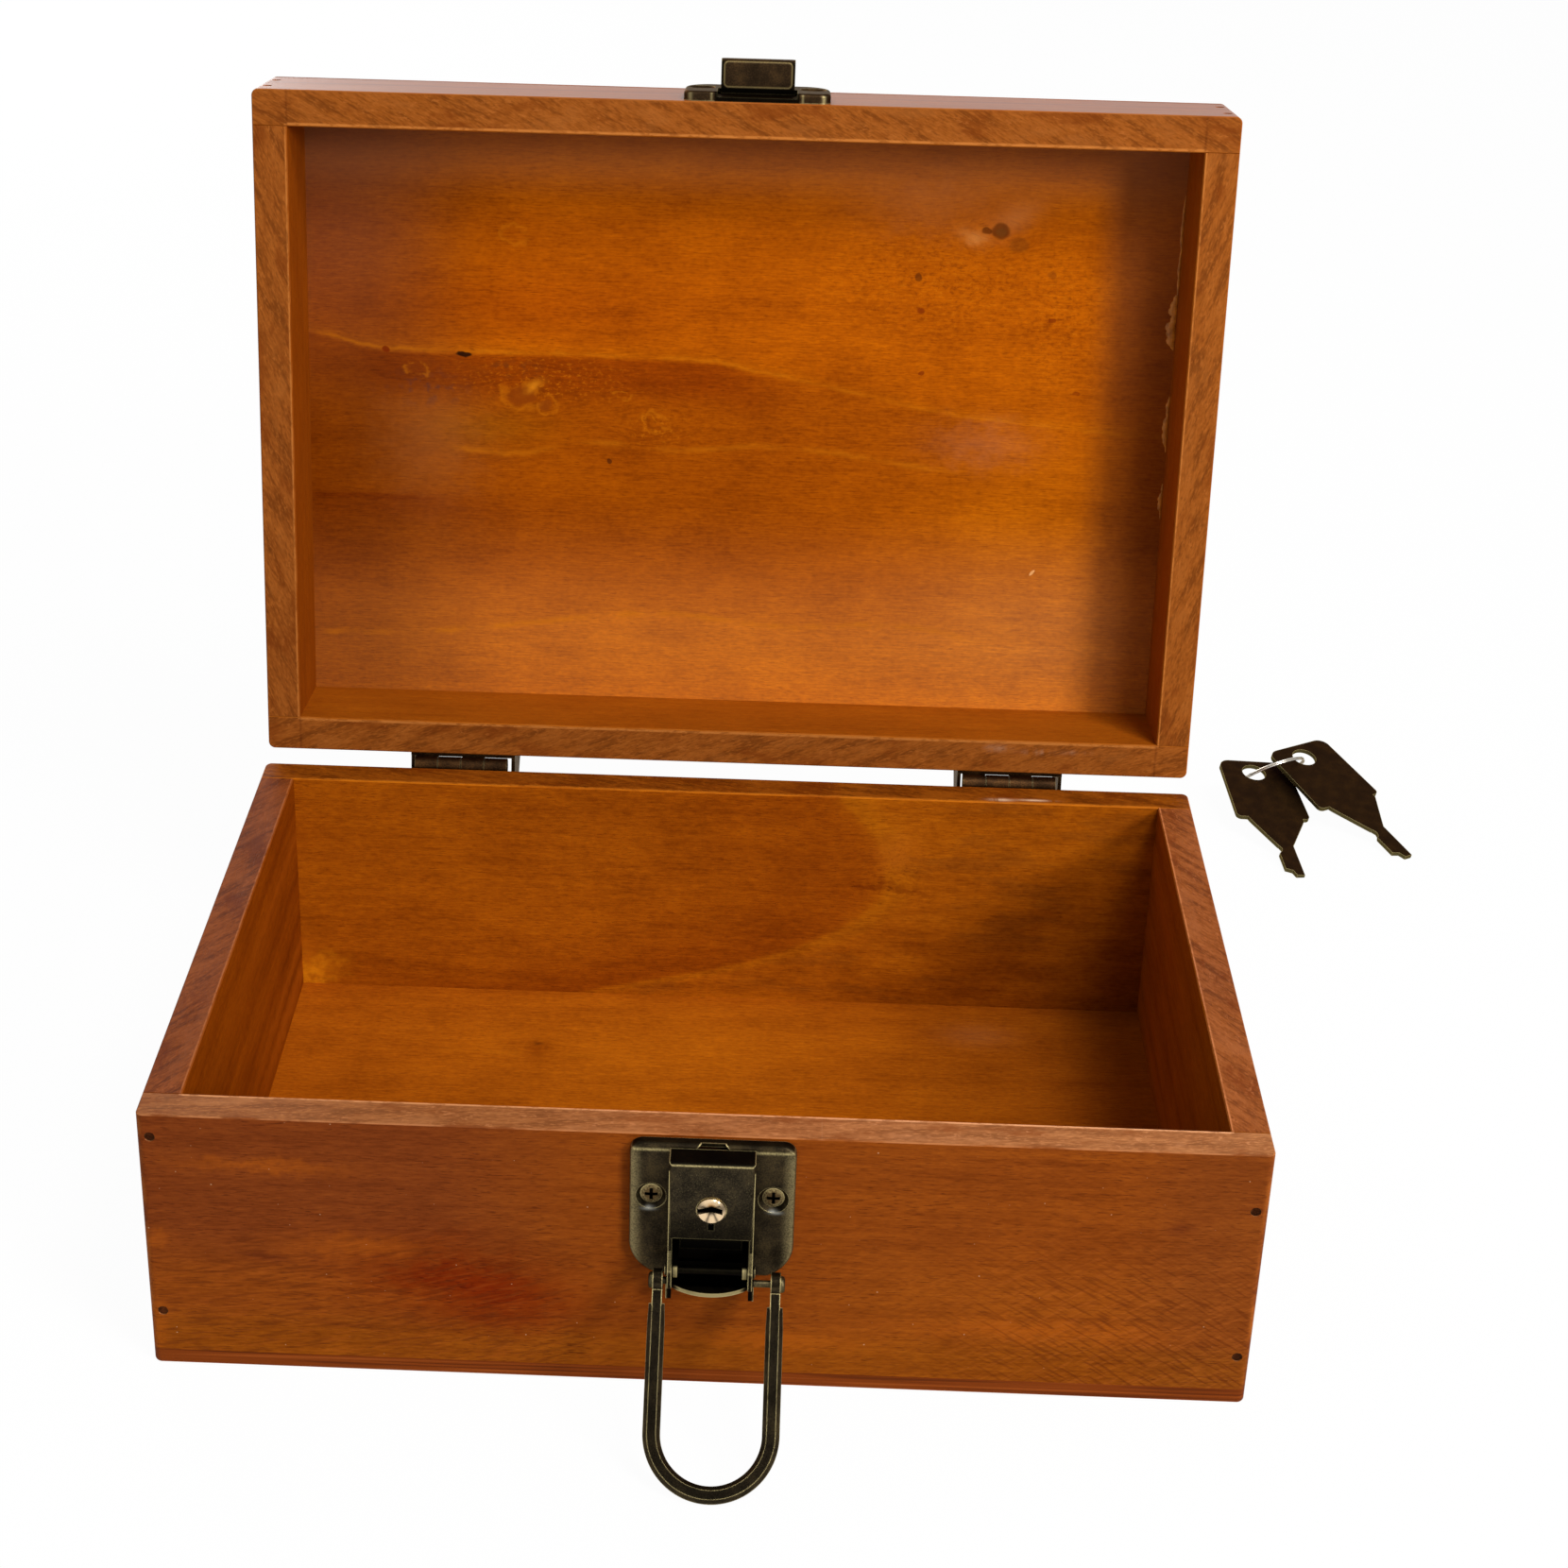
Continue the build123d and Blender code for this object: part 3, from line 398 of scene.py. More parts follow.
    def stain(self, look, base, bands=1, streaks=1, fibres=1, mottle=1, pores=1):
        """Colours the board by its own pattern: broad bands, streaks, fibres, mottle and dark pores."""
        base = tuple(base)
        broad = self.noise(self.stretched(150, 15), detail=2) - 0.5
        middle = self.noise(self.stretched(24, 1.6), detail=3, rough=0.65) - 0.5
        fine = self.noise(self.stretched(4, 0.36), detail=2, rough=0.6) - 0.5
        clouds = self.noise(self.stretched(17, 11), detail=4, rough=0.6) - 0.5
        grains = self.noise(self.stretched(1.5, 0.9), detail=2, rough=0.6) - 0.5
        value = 0.5 + broad * (0.5 * bands) + middle * (0.4 * streaks) + fine * (0.5 * fibres)
        value = value + clouds * (0.5 * mottle) + grains * (0.36 * mottle)
        dark = shaded(base, (look.dark_share, look.dark_share * 0.86, look.dark_share * 0.8))
        light = shaded(base, (look.light_share, look.light_share * 1.1, look.light_share))
        ramp = {"stops": [(0.12, dark), (0.5, base), (0.88, light)]}
        dashes = self.noise(self.stretched(2.4, 0.24), detail=1)
        dashes = self.step(dashes, 0.57, 0.72) * self.step(clouds, -0.25, 0.2, 0.3, 1)
        self.raised = fine * 0.5 + middle * 0.3 - dashes * 0.7
        self.colour = self.mix(dashes * (0.34 * pores), self.node("ShaderNodeValToRGB", ramp, {0: value}),
                               shaded(base, (0.4, 0.3, 0.3)))

    def flecks(self, region, gold, brown, size=1.5):
        """Sprinkles golden curls and brown flecks over a region, as round the eyes of a knotty board."""
        here = self.vector(self.u / size, self.v / (size * 0.7), self.seed + 20)
        curls = self.noise(here, detail=2, rough=0.7)
        self.paint(self.step(curls, 0.54, 0.68) * region * gold, GOLD_CURL)
        self.paint(self.step(curls, 0.47, 0.37) * region * brown, BROWN_FLECK)

    def saw_marks(self, centre, pitch, region, strength, colour):
        """Fine scratches on arcs round a far centre, broken up along their length."""
        du, dv = self.u - centre[0], self.v - centre[1]
        reach = self.maths("SQRT", du * du + dv * dv)
        around = self.maths("ARCTAN2", dv, du) * (math.hypot(*centre) / (pitch * 9))
        marks = self.noise(self.vector(around, reach / pitch, self.seed + 8), detail=1)
        self.paint(self.step(marks, 0.5, 0.68) * region * strength, colour)

    def rim(self, colour, up=1, turn=0.3, pale=0.8, stripes=1, scuffs=1):
        """A sanded rim: paler, with slanting saw stripes, a fine grain, blotches, bright inner edges, and
        eased edges made paler by wear and by a painted highlight.
        """
        rise = self.face_z * up
        flat = self.step(rise, *LEVEL)
        eased = self.step(rise, 0.45, 0.6) * self.step(rise, 0.93, 0.82)
        across = self.y if self.u is self.x else self.x
        slant = across * math.cos(turn) - self.u * math.sin(turn)
        run = self.u * math.cos(turn) + across * math.sin(turn)
        lines = self.noise(self.vector(run / 15, slant / 2.2, self.seed), detail=3, rough=0.6)
        grain = self.noise(self.vector(run / 1.8, slant / 0.45, self.seed + 4), detail=2, rough=0.6)
        wear = self.noise(self.vector(self.u / 15, across / 7, self.seed + 2), detail=4, rough=0.6)
        chips = self.noise(self.vector(self.u / 3, across / 1.4, self.z / 1.4), detail=3, rough=0.7)
        self.paint(flat * pale, tuple(colour))
        for noise, start, end, strength, shares in (
            (lines, 0.5, 0.62, 0.6 * stripes, (1.4, 1.5, 1.5)),
            (lines, 0.5, 0.38, 0.8 * stripes, (0.55, 0.5, 0.45)),
            (grain, 0.5, 0.68, 0.6, (1.5, 1.6, 1.6)),
            (grain, 0.48, 0.3, 0.6, (0.58, 0.52, 0.45)),
            (wear, 0.52, 0.66, 0.5 * scuffs, (1.35, 1.5, 1.7)),
            (wear, 0.48, 0.34, 0.65 * scuffs, (0.68, 0.5, 0.34)),
            (chips, 0.6, 0.7, 0.55 * scuffs, (1.7, 1.9, 2.2)),
        ):
            self.paint(flat * self.step(noise, start, end) * strength, shaded(colour, shares))
        x, y = abs(self.x), abs(self.y)
        beside = self.step(abs(y - (WALL_Y + 0.2)), 0.55, 0.2) * self.step(x, WALL_X + 0.3, WALL_X - 0.3)
        ahead = self.step(abs(x - (WALL_X + 0.2)), 0.55, 0.2) * self.step(y, WALL_Y + 0.6, WALL_Y)
        broken = self.step(chips, 0.38, 0.54, 0.35, 0.95) * scuffs
        self.paint(flat * self.high(beside, ahead) * broken, shaded(colour, (2.1, 2.6, 3.4)))
        # Wear and painted highlight: the eased edges, picked by how far they tilt, made paler
        self.paint(eased * self.step(wear, 0.4, 0.55, 0.1, 0.5), shaded(colour, (1.6, 1.9, 2.1)))

    def worn_corners(self):
        """Lets the bare orange wood show where the finish has rubbed off the upright corners."""
        rubbed = self.noise(self.vector(self.x / 3, self.y / 3, self.z / 9), detail=3)
        corner = self.step(abs(self.x), HALF_LENGTH - 1.5, HALF_LENGTH - 0.3)
        self.paint(corner * self.step(rubbed, 0.42, 0.6) * 0.4, BARE_WOOD)

    def wood(self, **changing):
        """Joins colour, an uneven sheen and the raised grain to the surface."""
        sheen = self.noise(self.stretched(20, 4), detail=2) - 0.5
        rough = self.roughness + sheen * 0.16
        return self.finish(self.colour, height=self.raised, depth=0.00005, roughness=rough, **changing)


def front_board(look):
    """The front board: saw marks, a dark red smear, dull and orange patches, painted shade in the hollow
    behind the latch, and painted shadows under the loop's hanging sides.
    """
    board = Board("front board", axes="xzy", seed=1, gloss=0.02, roughness=0.46)
    board.part_grain((-51, 25), (20, 9), 0.5)
    board.stain(look, look.front_stain, bands=0.8, streaks=1.5, fibres=1.4, mottle=0.8, pores=2.2)
    board.wash(board.on_u(-15, -60) * board.on_v(20, 36), (0.76, 0.72, 1.4))
    board.wash(board.on_u(82, 104), (0.88, 0.92, 1.4))
    board.wash(board.cloud((62, 20), (44, 12)), (1.12, 1.2, 1))
    board.wash(board.on_v(17, 9), (1.06, 1.16, 0.7))
    red, dull, orange = (0.76, 0.36, 0.04), (0.55, 0.45, 0.9), tint(170, 84, 14)
    board.clouds(
        (-50, 24, 22, 9, -0.16, 0.8, red),
        (-42, 22, 13, 5.5, -0.2, 0.75, red),
        (-58, 25.4, 8, 2.2, 0.2, 0.5, red),
        (-45, 15, 12, 3.6, 0, 0.35, red),
        (-56, 34, 12, 3, 0.2, 0.25, red),
        ragged=2.2)
    board.clouds(
        (-90.2, 28.4, 5.5, 0.9, -0.1, 0.6, dull),
        (97.5, 44, 2.8, 1.6, 0.4, 0.6, dull),
        (-73, 12, 9, 0.7, -0.1, 0.6, dull),
        ragged=0.9)
    board.clouds(
        (-113.6, 32, 4, 1.8, 0, 0.4, orange),
        (-114.5, 8, 2.4, 7, 0, 0.4, orange),
        (-90, 51, 16, 1.6, 0, 0.4, orange),
        (-70, 32, 14, 3, 0, 0.4, orange),
        (70, 17, 26, 2.4, 0, 0.4, orange),
        (15, 12, 20, 2.6, 0, 0.4, orange),
        ragged=2)
    left = board.on_u(0, -50, 0.35) * board.on_v(46, 24, 0.35)
    board.saw_marks((-140, 330), 0.8, left, 0.14, tint(168, 84, 26))
    board.saw_marks((-140, 330), 0.9, left, 0.42, tint(84, 34, 8))
    right = board.on_u(30, 80) * board.on_v(46, 24, 0.25)
    board.saw_marks((330, -420), 0.7, right, 0.2, tint(168, 88, 30))
    board.saw_marks((-200, -460), 0.7, right, 0.48, tint(84, 32, 6))
    specks = board.noise(board.vector(board.u, board.v, 3), scale=1.4, detail=0)
    board.paint(board.step(specks, 0.86, 0.9) * 0.6, tint(200, 160, 120))
    board.worn_corners()
    board.paint(board.on_v(1.8, 0.4) * 0.35, tint(90, 34, 8))
    board.rim(look.rim_stain, turn=0.1, stripes=0.7)
    board.wash(board.level() * board.on_u(20, -60), (0.84, 0.82, 0.72))
    board.wash(board.level() * board.on_u(10, 80), (1.1, 1.18, 1.22))
    outside = board.step(board.face_y, -0.6, -0.9)
    # Painted shade: near black on the front board where it shows through the hollow behind the latch
    latch = board.step(abs(board.x - LATCH_X), 9.6, 7.4) * board.step(board.z, 27, 30)
    board.paint(latch * board.step(board.z, 61, 59) * outside, tint(8, 5, 3))
    # Painted shadows: darker ovals on the front board where the loop's two sides hang in front of it
    for side in (-1, 1):
        pin = board.cloud((LATCH_X + 1.45 + side * 12, 25), (4.5, 9), ragged=0)
        board.wash(pin * outside * 0.35, (0.6, 0.5, 0.5))
    return board.wood()


def back_board(look):
    """The back board: a dark arched figure on its inner face, a bright patch in its low corner, and painted
    shadow of the right board at its low right end.
    """
    board = Board("back board", axes="xzy", seed=2, gloss=0.03)
    board.part_grain((41, 38), (9, 5), 0.8)
    board.stain(look, look.back_stain, bands=0.8, streaks=1.3, fibres=1.3, mottle=1.6, pores=1.4)
    arch = board.u - board.guide(board.v, (
        (3, -44), (9, -14), (14, 4), (20, 20), (27, 32), (36, 40.5), (46, 39.5), (55, 34), (62, 26)))
    arch = arch + (board.shift_u - 0.5) * 3
    board.wash(board.step(arch, 4, -3) * board.step(arch, -70, -6, 0.3, 0.9), (0.78, 0.66, 0.6))
    board.wash(board.step(arch, 0, 2.5) * board.step(arch, 12, 4) * 0.7, (1.1, 1.24, 1.1))
    for back, width in ((-7, 2.2), (-14, 3), (-24, 3.8)):
        board.wash(board.hump((arch - back) / width) * 0.16, (0.72, 0.6, 0.6))
    for centre, radii, turn in (((41, 38), (4, 1.1), 0.1), ((46, 36.5), (5, 0.8), -0.1),
                                ((36, 37.5), (3, 0.8), 0)):
        board.wash(board.spot(centre, radii, turn, ragged=1, soft=0.8) * 0.6, (0.55, 0.42, 0.6))
    board.clouds((43, 47, 5, 5, 0, 0.4, tint(196, 104, 22)), ragged=1.4)
    board.flecks(board.cloud((44, 42), (9, 9)), 0.35, 0.35)
    drifts = board.noise(board.stretched(26, 7), detail=3, rough=0.6)
    board.wash(board.step(drifts, 0.5, 0.36) * board.step(arch, 2, 12) * 0.6, (0.7, 0.72, 1.6))
    board.wash(board.step(drifts, 0.54, 0.66) * board.step(arch, 2, 10) * 0.6, (1.2, 1.3, 1.4))
    # Painted shadow: darker low towards the right end, where the right board shades the back wall
    board.wash(board.on_u(36, 100) * board.on_v(48, 12) * 0.7, (0.6, 0.54, 0.6))
    low = board.guide(board.u, (
        (-108, 15), (-98, 11.4), (-80, 10.6), (-68, 9), (-44, 7.2), (-20, 7), (10, 6), (60, 5)))
    board.wash(board.streak(low, 1.3, 2) * board.on_u(40, -30) * 0.35, (0.52, 0.4, 0.4))
    below = board.step(board.v - low, 0, -4) * board.on_u(30, -40)
    board.wash(below * 0.4, (0.8, 0.72, 0.7))
    for first, last, height, strength in ((-106, -60, 36.8, 0.4), (-80, -50, 54, 0.3),
                                          (-30, 30, 12, 0.3), (50, 100, 30, 0.22)):
        board.wash(board.thread(board.v - height, first, last, 0.9) * strength, (0.55, 0.45, 0.45))
    board.clouds((-104.5, 7.5, 6, 4, 0.3, 0.8, tint(226, 138, 16)), ragged=3.4)
    board.clouds((-105.5, 13, 2.6, 3.4, 0, 0.6, tint(190, 100, 12)), ragged=1.2)
    board.worn_corners()
    board.rim(look.back_stain, turn=-0.25, pale=0.2)
    board.wash(board.level(), (0.56, 0.55, 1.2))
    board.scuffs(board.step(board.face_z, 0.3, 0.9), (0.36, 0.5), tint(222, 182, 148), (
        (68.4, 73.9, 2.6, 0.7), (76.5, 74.2, 3.4, 0.5)))
    return board.wood()


def side_boards(look):
    """The two end boards: darker outside, with dark streaks, and orange ones that grow to the back."""
    finished = {}
    for side, seed, stain, outside, rim, turn, dull in (
        ("left", 3, (0.8, 0.76, 0.5), (0.9, 0.84, 0.9), (0.51, 0.34, 0.19), 0.6, 40),
        ("right", 4, (1.1, 1.3, 1), (0.66, 0.56, 0.7), (0.76, 0.6, 0.46), -0.6, -12),
    ):
        board = Board(f"{side} board", axes="yzx", seed=seed, gloss=0.02)
        board.stain(look, shaded(look.side_stain, stain), streaks=1.4, fibres=1.2, mottle=1.1, pores=1.4)
        board.wash(board.step(abs(board.x), 112, 113) * board.step(abs(board.face_x), 0.3, 0.9), outside)
        for height, width, strength in ((9, 2.6, 0.5), (17, 1.8, 0.4), (47, 2.2, 0.3)):
            streak = board.streak(height, width, 5) * board.on_u(-20, 50, 0.2)
            board.paint(streak * strength, tint(168, 84, 14))
        for height, width in ((13, 1), (24, 1.6), (36, 1.2), (55, 1.4)):
            board.wash(board.streak(height, width, 4) * 0.4, (0.62, 0.5, 0.5))
        board.rim(shaded(look.rim_stain, rim), turn=turn)
        board.wash(board.cloud((dull, 111), (10, 60), ragged=2) * board.level() * 0.6, (0.72, 0.74, 1.2))
        finished[side] = board.wood()
    return finished


def floor_board(look):
    """The bottom panel: golden, with a small knot, its plies showing along the outer edges, painted shade
    towards the right wall and the back wall, and painted light over its middle.
    """
    board = Board("bottom board", seed=5, gloss=0.03)
    board.part_grain((-44, 45), (7, 4))
    board.stain(look, look.floor_stain, bands=0.8, streaks=1.2, fibres=1.5, mottle=1.5, pores=1.4)
    # Painted shade: darker towards the right wall
    board.wash(board.on_u(40, 100) * 0.7, (0.66, 0.64, 0.9))
    # Painted light: brighter over the middle
    board.clouds((-10, 40, 60, 30, 0, 0.6, (1.12, 1.2, 0.9)))
    # Painted shade: darker along the back wall, where it meets the bottom
    board.wash(board.on_v(66, 72) * 0.5, (0.8, 0.7, 0.7))
    board.clouds((-44.2, 46.6, 1.4, 0.9, 0, 0.6, BROWN_EYE), ragged=0.8)
    board.clouds((-44, 44, 3.4, 4.6, 0, 0.7, (0.62, 0.5, 0.5)))
    board.paint(board.thread(board.v - 42, -70, -20, 1) * 0.25, GOLD)
    board.clouds((65, 58, 9, 5, 0, 0.12, tint(190, 130, 84)))
    edge = board.step(abs(board.face_z), 0.6, 0.3)
    board.paint(edge, tint(116, 52, 12))
    plies = board.noise(board.vector(board.u / 60, board.w / 60, board.z / 0.7), detail=1)
    board.paint(edge * board.step(plies, 0.48, 0.36) * 0.7, tint(78, 32, 8))
    board.paint(edge * board.step(plies, 0.54, 0.66) * 0.6, tint(148, 74, 26))
    board.wash(edge * board.step(board.z, 3.3, 3.8) * 0.5, (0.6, 0.5, 0.5))
    return board.wood()


def lid_panel(look):
    """The lid's panel: growth lines, a dark red band, knots, golden curls and dull, pale patches, with
    painted light, sheen and shade.
    """
    board = Board("lid panel", lid=True, seed=10, gloss=0.015)
    for centre, radii in (((62, -49.5), (9, 6)), ((-54, -5.5), (10, 6)), ((-22, 0), (8, 5)),
                          ((-68, -15.5), (5, 2.5))):
        board.part_grain(centre, radii)
    board.stain(look, look.panel_stain, bands=0.6, streaks=0.9, fibres=1.35, mottle=1.5, pores=1.3)
    first, second, third = (board.v - board.guide(board.u, points) for points in (
        ((-106.5, -20.5), (-97, -17.6), (-89, -16), (-65, -15.8), (-38, -16.2), (-6, -15.6), (3, -13.6),
         (23, -9.8), (41, -5.6), (58, -3.2), (85, -0.8), (106.5, 1)),
        ((-74, 7.6), (-62, 9.4), (-53, 9.7), (-46, 7.4), (-38, 5.6), (-26, 6.7), (-14, 7.6), (-5, 6.7),
         (10, 5), (35, 8), (60, 12)),
        ((-106.5, 57.6), (-76, 56.6), (-52, 53.6), (-28, 49.8), (-8, 49.7), (11, 53.2), (30, 51.3),
         (50, 50.6), (67, 57)),
    ))
    panel_tones_and_painted_light(board)
    band = board.step(first, 0.2, 1.6) * board.step(first, 15, 6)
    band = band * board.on_u(-100, -84, 0.4) * board.on_u(22, -8)
    board.wash(band * 0.9, (0.66, 0.5, 0.5))
    board.clouds((-58, -27, 44, 9, 0, 0.6, (0.84, 0.68, 0.6)), ragged=1.5)
    board.wash(board.step(first, -3, 0) * board.step(first, 0.6, 0) * 0.3, (1.12, 1.3, 1))
    board.clouds((-60, 3, 14, 5, 0, 0.8, (1.1, 1.4, 1)), ragged=1.2)
    # Painted sheen: brighter and bluer towards the lower right, near the hinge
    board.clouds((78, 36, 34, 34, 0, 0.8, (1.12, 1.34, 2)))
    for u, v, long, wide, gold, brown, size in (
        (50, -36, 30, 15, 0.5, 0.45, 1.5),
        (80, -27, 12, 20, 0.5, 0.45, 1.7),
        (-48, -9, 20, 6, 0.6, 0.5, 1.3),
        (-20, 2, 9, 5, 0.6, 0.3, 1.6),
    ):
        board.flecks(board.cloud((u, v), (long, wide)), gold, brown, size)
    for line, start, end, width, strength in (
        (first, -106.5, 16, 0.5, 0.34),
        (first, 8, 102, 0.5, 0.28),
        (second, -74, 58, 0.7, 0.34),
        (third, -106.5, 66, 0.8, 0.45),
    ):
        board.paint(board.thread(line, start, end, width) * strength, GOLD)
    board.wash(board.step(third, 0, -1.4) * board.step(third, -9, -2) * 0.35, (0.85, 0.8, 0.8))
    panel_knots(board)
    board.paint(board.spot((75.6, 36), (0.9, 0.4), -0.9, ragged=0.15) * 0.8, tint(232, 170, 104))
    return board.wood(coat_weight=board.step(board.face_z, 0.3, 0.9) * 0.25)


def panel_tones_and_painted_light(board):
    """Greyish, pinkish patches and soft changes of tone over the lid's panel, with painted light and sheen
    towards the hinge and painted shade along its top, left and right rails.
    """
    # Painted light: brighter towards the hinge
    board.wash(board.on_v(34, 66), (1.3, 1.5, 1.2))
    # Painted sheen: a pale pink towards the hinge
    board.paint(board.on_v(18, 58) * 0.1, tint(216, 156, 104))
    # Painted shade: the middle band darker towards the left
    middle = board.on_v(-22, 6) * board.on_v(50, 26)
    board.wash(middle * board.on_u(90, -20, 0.1), (0.76, 0.72, 0.85))
    # Painted shade: darker at the top, under the lid's front board
    board.wash(board.on_v(-46, -64), (0.82, 0.9, 1))
    # Painted shade: darker beside the right rail
    right = board.on_u(86, 104) * board.on_v(46, 24)
    board.wash(right * board.on_v(-60, -20), (0.74, 0.7, 0.74))
    # Painted shade: darker towards the left rail
    board.wash(board.on_u(-50, -96), (0.6, 0.58, 0.7))
    board.paint(board.on_u(-62, -100) * board.on_v(10, -50) * 0.3, tint(120, 72, 54))
    board.paint(board.on_v(-52, -68) * 0.34, tint(148, 92, 60))
    board.paint(board.on_u(84, 96) * board.on_v(10, -50, 0.3) * 0.3, tint(150, 92, 56))
    board.clouds(
        (-77, 7, 13, 18, 0, 0.3, tint(156, 92, 44)),
        (46, -55, 16, 7, 0, 0.22, tint(176, 108, 60)),
        (61, 3, 12, 5, 0, 0.14, tint(186, 122, 80)),
        ragged=3)
    board.wash(board.spot((-92, 21.6), (17, 0.8), ragged=0.5, soft=0.8) * 0.4, (0.6, 0.36, 0.6))
    board.clouds((-84, 23.5, 24, 4, 0, 0.5, (0.78, 0.6, 0.8)))
    mottled = board.step(board.shift_u, 0.48, 0.62)
    board.paint(board.cloud((-77, -6.5), (8, 3.4)) * mottled * 0.6, tint(84, 56, 46))
    board.paint(board.cloud((-56, -12), (6, 2)) * mottled * 0.5, tint(96, 62, 30))


def panel_knots(board):
    """The knots, burls and pin marks of the lid's panel."""
    board.clouds((56.5, -47.6, 3.4, 1.6, 0.3, 0.5, tint(214, 138, 66)), ragged=1)
    board.clouds((66, -52.5, 6, 3, -0.5, 0.5, tint(190, 112, 52)))
    for u, v, long, wide, colour, strength in (
        (62.6, -49.3, 2.2, 1.9, BROWN_EYE, 0.7),
        (59.4, -49.2, 1.2, 0.9, BROWN_EYE, 0.7),
        (67.2, -46, 2.4, 1.8, tint(120, 60, 12), 0.5),
        (43.1, -37.6, 0.75, 0.95, BROWN_EYE, 0.65),
        (44.1, -29.4, 1, 0.6, DARK_RED, 0.7),
        (45, -13.9, 0.9, 0.5, DARK_RED, 0.7),
        (76.6, -27.6, 0.9, 0.5, DARK_RED, 0.7),
        (75.8, -39, 1.1, 0.9, tint(140, 66, 8), 0.7),
        (83.5, -9.9, 0.9, 0.5, DARK_RED, 0.5),
        (-68.4, -15.1, 1.9, 0.7, BLACK_SPOT, 0.95),
        (-87.8, -15.9, 1.1, 0.7, DARK_RED, 0.9),
        (-31.9, 10.6, 0.6, 0.6, BROWN_EYE, 0.8),
        (-54, -5.2, 3.6, 2.5, tint(126, 54, 6), 0.75),
        (-48.2, -3, 1.8, 1.3, tint(130, 58, 8), 0.7),
        (62.9, -49, 1.2, 1, tint(110, 62, 20), 0.6),
    ):
        board.paint(board.spot((u, v), (long, wide)) * strength, colour)
    for u, v, long, wide in (
        (-54, -5, 4.6, 3.3), (-47.6, -3, 2.7, 2.1), (-20.5, 0.6, 3.4, 2.4), (-22, 0.6, 1.8, 1.4),
        (-80, -11, 3, 1.6), (-28.6, -5.8, 2.2, 1.2), (-56, -45, 3.4, 2.4),
    ):
        ring = board.hump((board.turned((u, v), (long, wide), 0.2, 1.1) - 1) / 0.4)
        board.paint(ring * board.step(board.shift_u, 0.4, 0.56) * 0.32, GOLD)
    board.clouds((-50.8, -7.8, 2.4, 1, -0.6, 0.7, tint(206, 124, 20)))


def lid_rails(look):
    """The lid's four boards: paler rims, corner seams, and a front with more lacquer."""
    finished = {}
    for side, axes, seed, turn, shares in (
        ("front", "xzy", 6, 0.5, (1, 1, 1)),
        ("back", "xzy", 7, -0.35, (1, 1, 1)),
        ("left", "yzx", 8, 0.4, (0.72, 0.62, 0.5)),
        ("right", "yzx", 9, -0.3, (1, 1, 1)),
    ):
        board = Board(f"lid {side} board", axes=axes, lid=True, seed=seed, gloss=0.02)
        base = shaded(look.rail_stain, shares)
        board.stain(look, base, bands=0.9, streaks=1.1, fibres=0.9, mottle=0.9, pores=0.8)
        changing = {}
        if side == "right":
            board.wash(board.step(board.face_x, 0.3, 0.9), (0.66, 0.6, 0.8))
        elif side == "front":
            outside = board.step(board.face_y, -0.5, -0.9)
            board.wash(outside * 0.7, (0.8, 0.78, 1.2))
            board.wash(outside * board.streak(78, 1.1, 1.2) * 0.5, (0.5, 0.42, 0.45))
            board.wash(outside * board.step(board.z, 86, 88.4) * 0.5, (0.6, 0.5, 0.5))
            changing["coat_weight"] = outside * 0.6
        elif side == "back":
            board.scuffs(board.step(board.face_z, -0.3, -0.9), (0.4, 0.6), tint(226, 190, 156), (
                (67, 74.4, 3, 0.9), (77.5, 75.2, 3.6, 0.7), (87, 75, 3, 0.6)))
            board.worn_corners()
        board.rim(look.lid_rim_stain, up=-1, turn=turn, stripes=0.8, scuffs=0.9)
        seam = board.hump((abs(board.x) - WALL_X) / 0.3) * board.step(board.face_z, -0.5, -0.9)
        board.wash(seam * 0.5, (0.5, 0.4, 0.4))
        finished[side] = board.wood(**changing)
    return finished


def colour_setting(name, description, screen_colour):
    """A colour that can be set in the sidebar."""
    return FloatVectorProperty(name=name, description=description, subtype="COLOR", size=4,
                               default=tint(*screen_colour), min=0, max=1)


class WoodLook(bpy.types.PropertyGroup):
    """How the stained boards look."""

    dark_share: FloatProperty(
        name="Dark grain", description="How dark the darkest grain is beside the middle stain",
        default=0.6, min=0, max=1, subtype="FACTOR")
    light_share: FloatProperty(
        name="Light grain", description="How light the lightest grain is beside the middle stain",
        default=1.36, min=1, max=3)
    front_stain: colour_setting("Front stain", "The middle colour of the front board", (127, 60, 12))
    back_stain: colour_setting("Back stain", "The middle colour of the back board", (165, 84, 7))
    side_stain: colour_setting("Side stain", "The middle colour of the two end boards", (144, 68, 7))
    floor_stain: colour_setting("Bottom stain", "The middle colour of the bottom board", (169, 85, 10))
    panel_stain: colour_setting("Panel stain", "The middle colour of the lid's panel", (168, 80, 2))
    rail_stain: colour_setting("Rail stain", "The middle colour of the lid's four boards", (156, 80, 12))
    lid_rim_stain: colour_setting("Lid rim stain", "The colour of the lid's sanded rims", (133, 71, 24))
    rim_stain: colour_setting("Rim stain", "The paler colour of the box's sanded rims", (162, 99, 58))


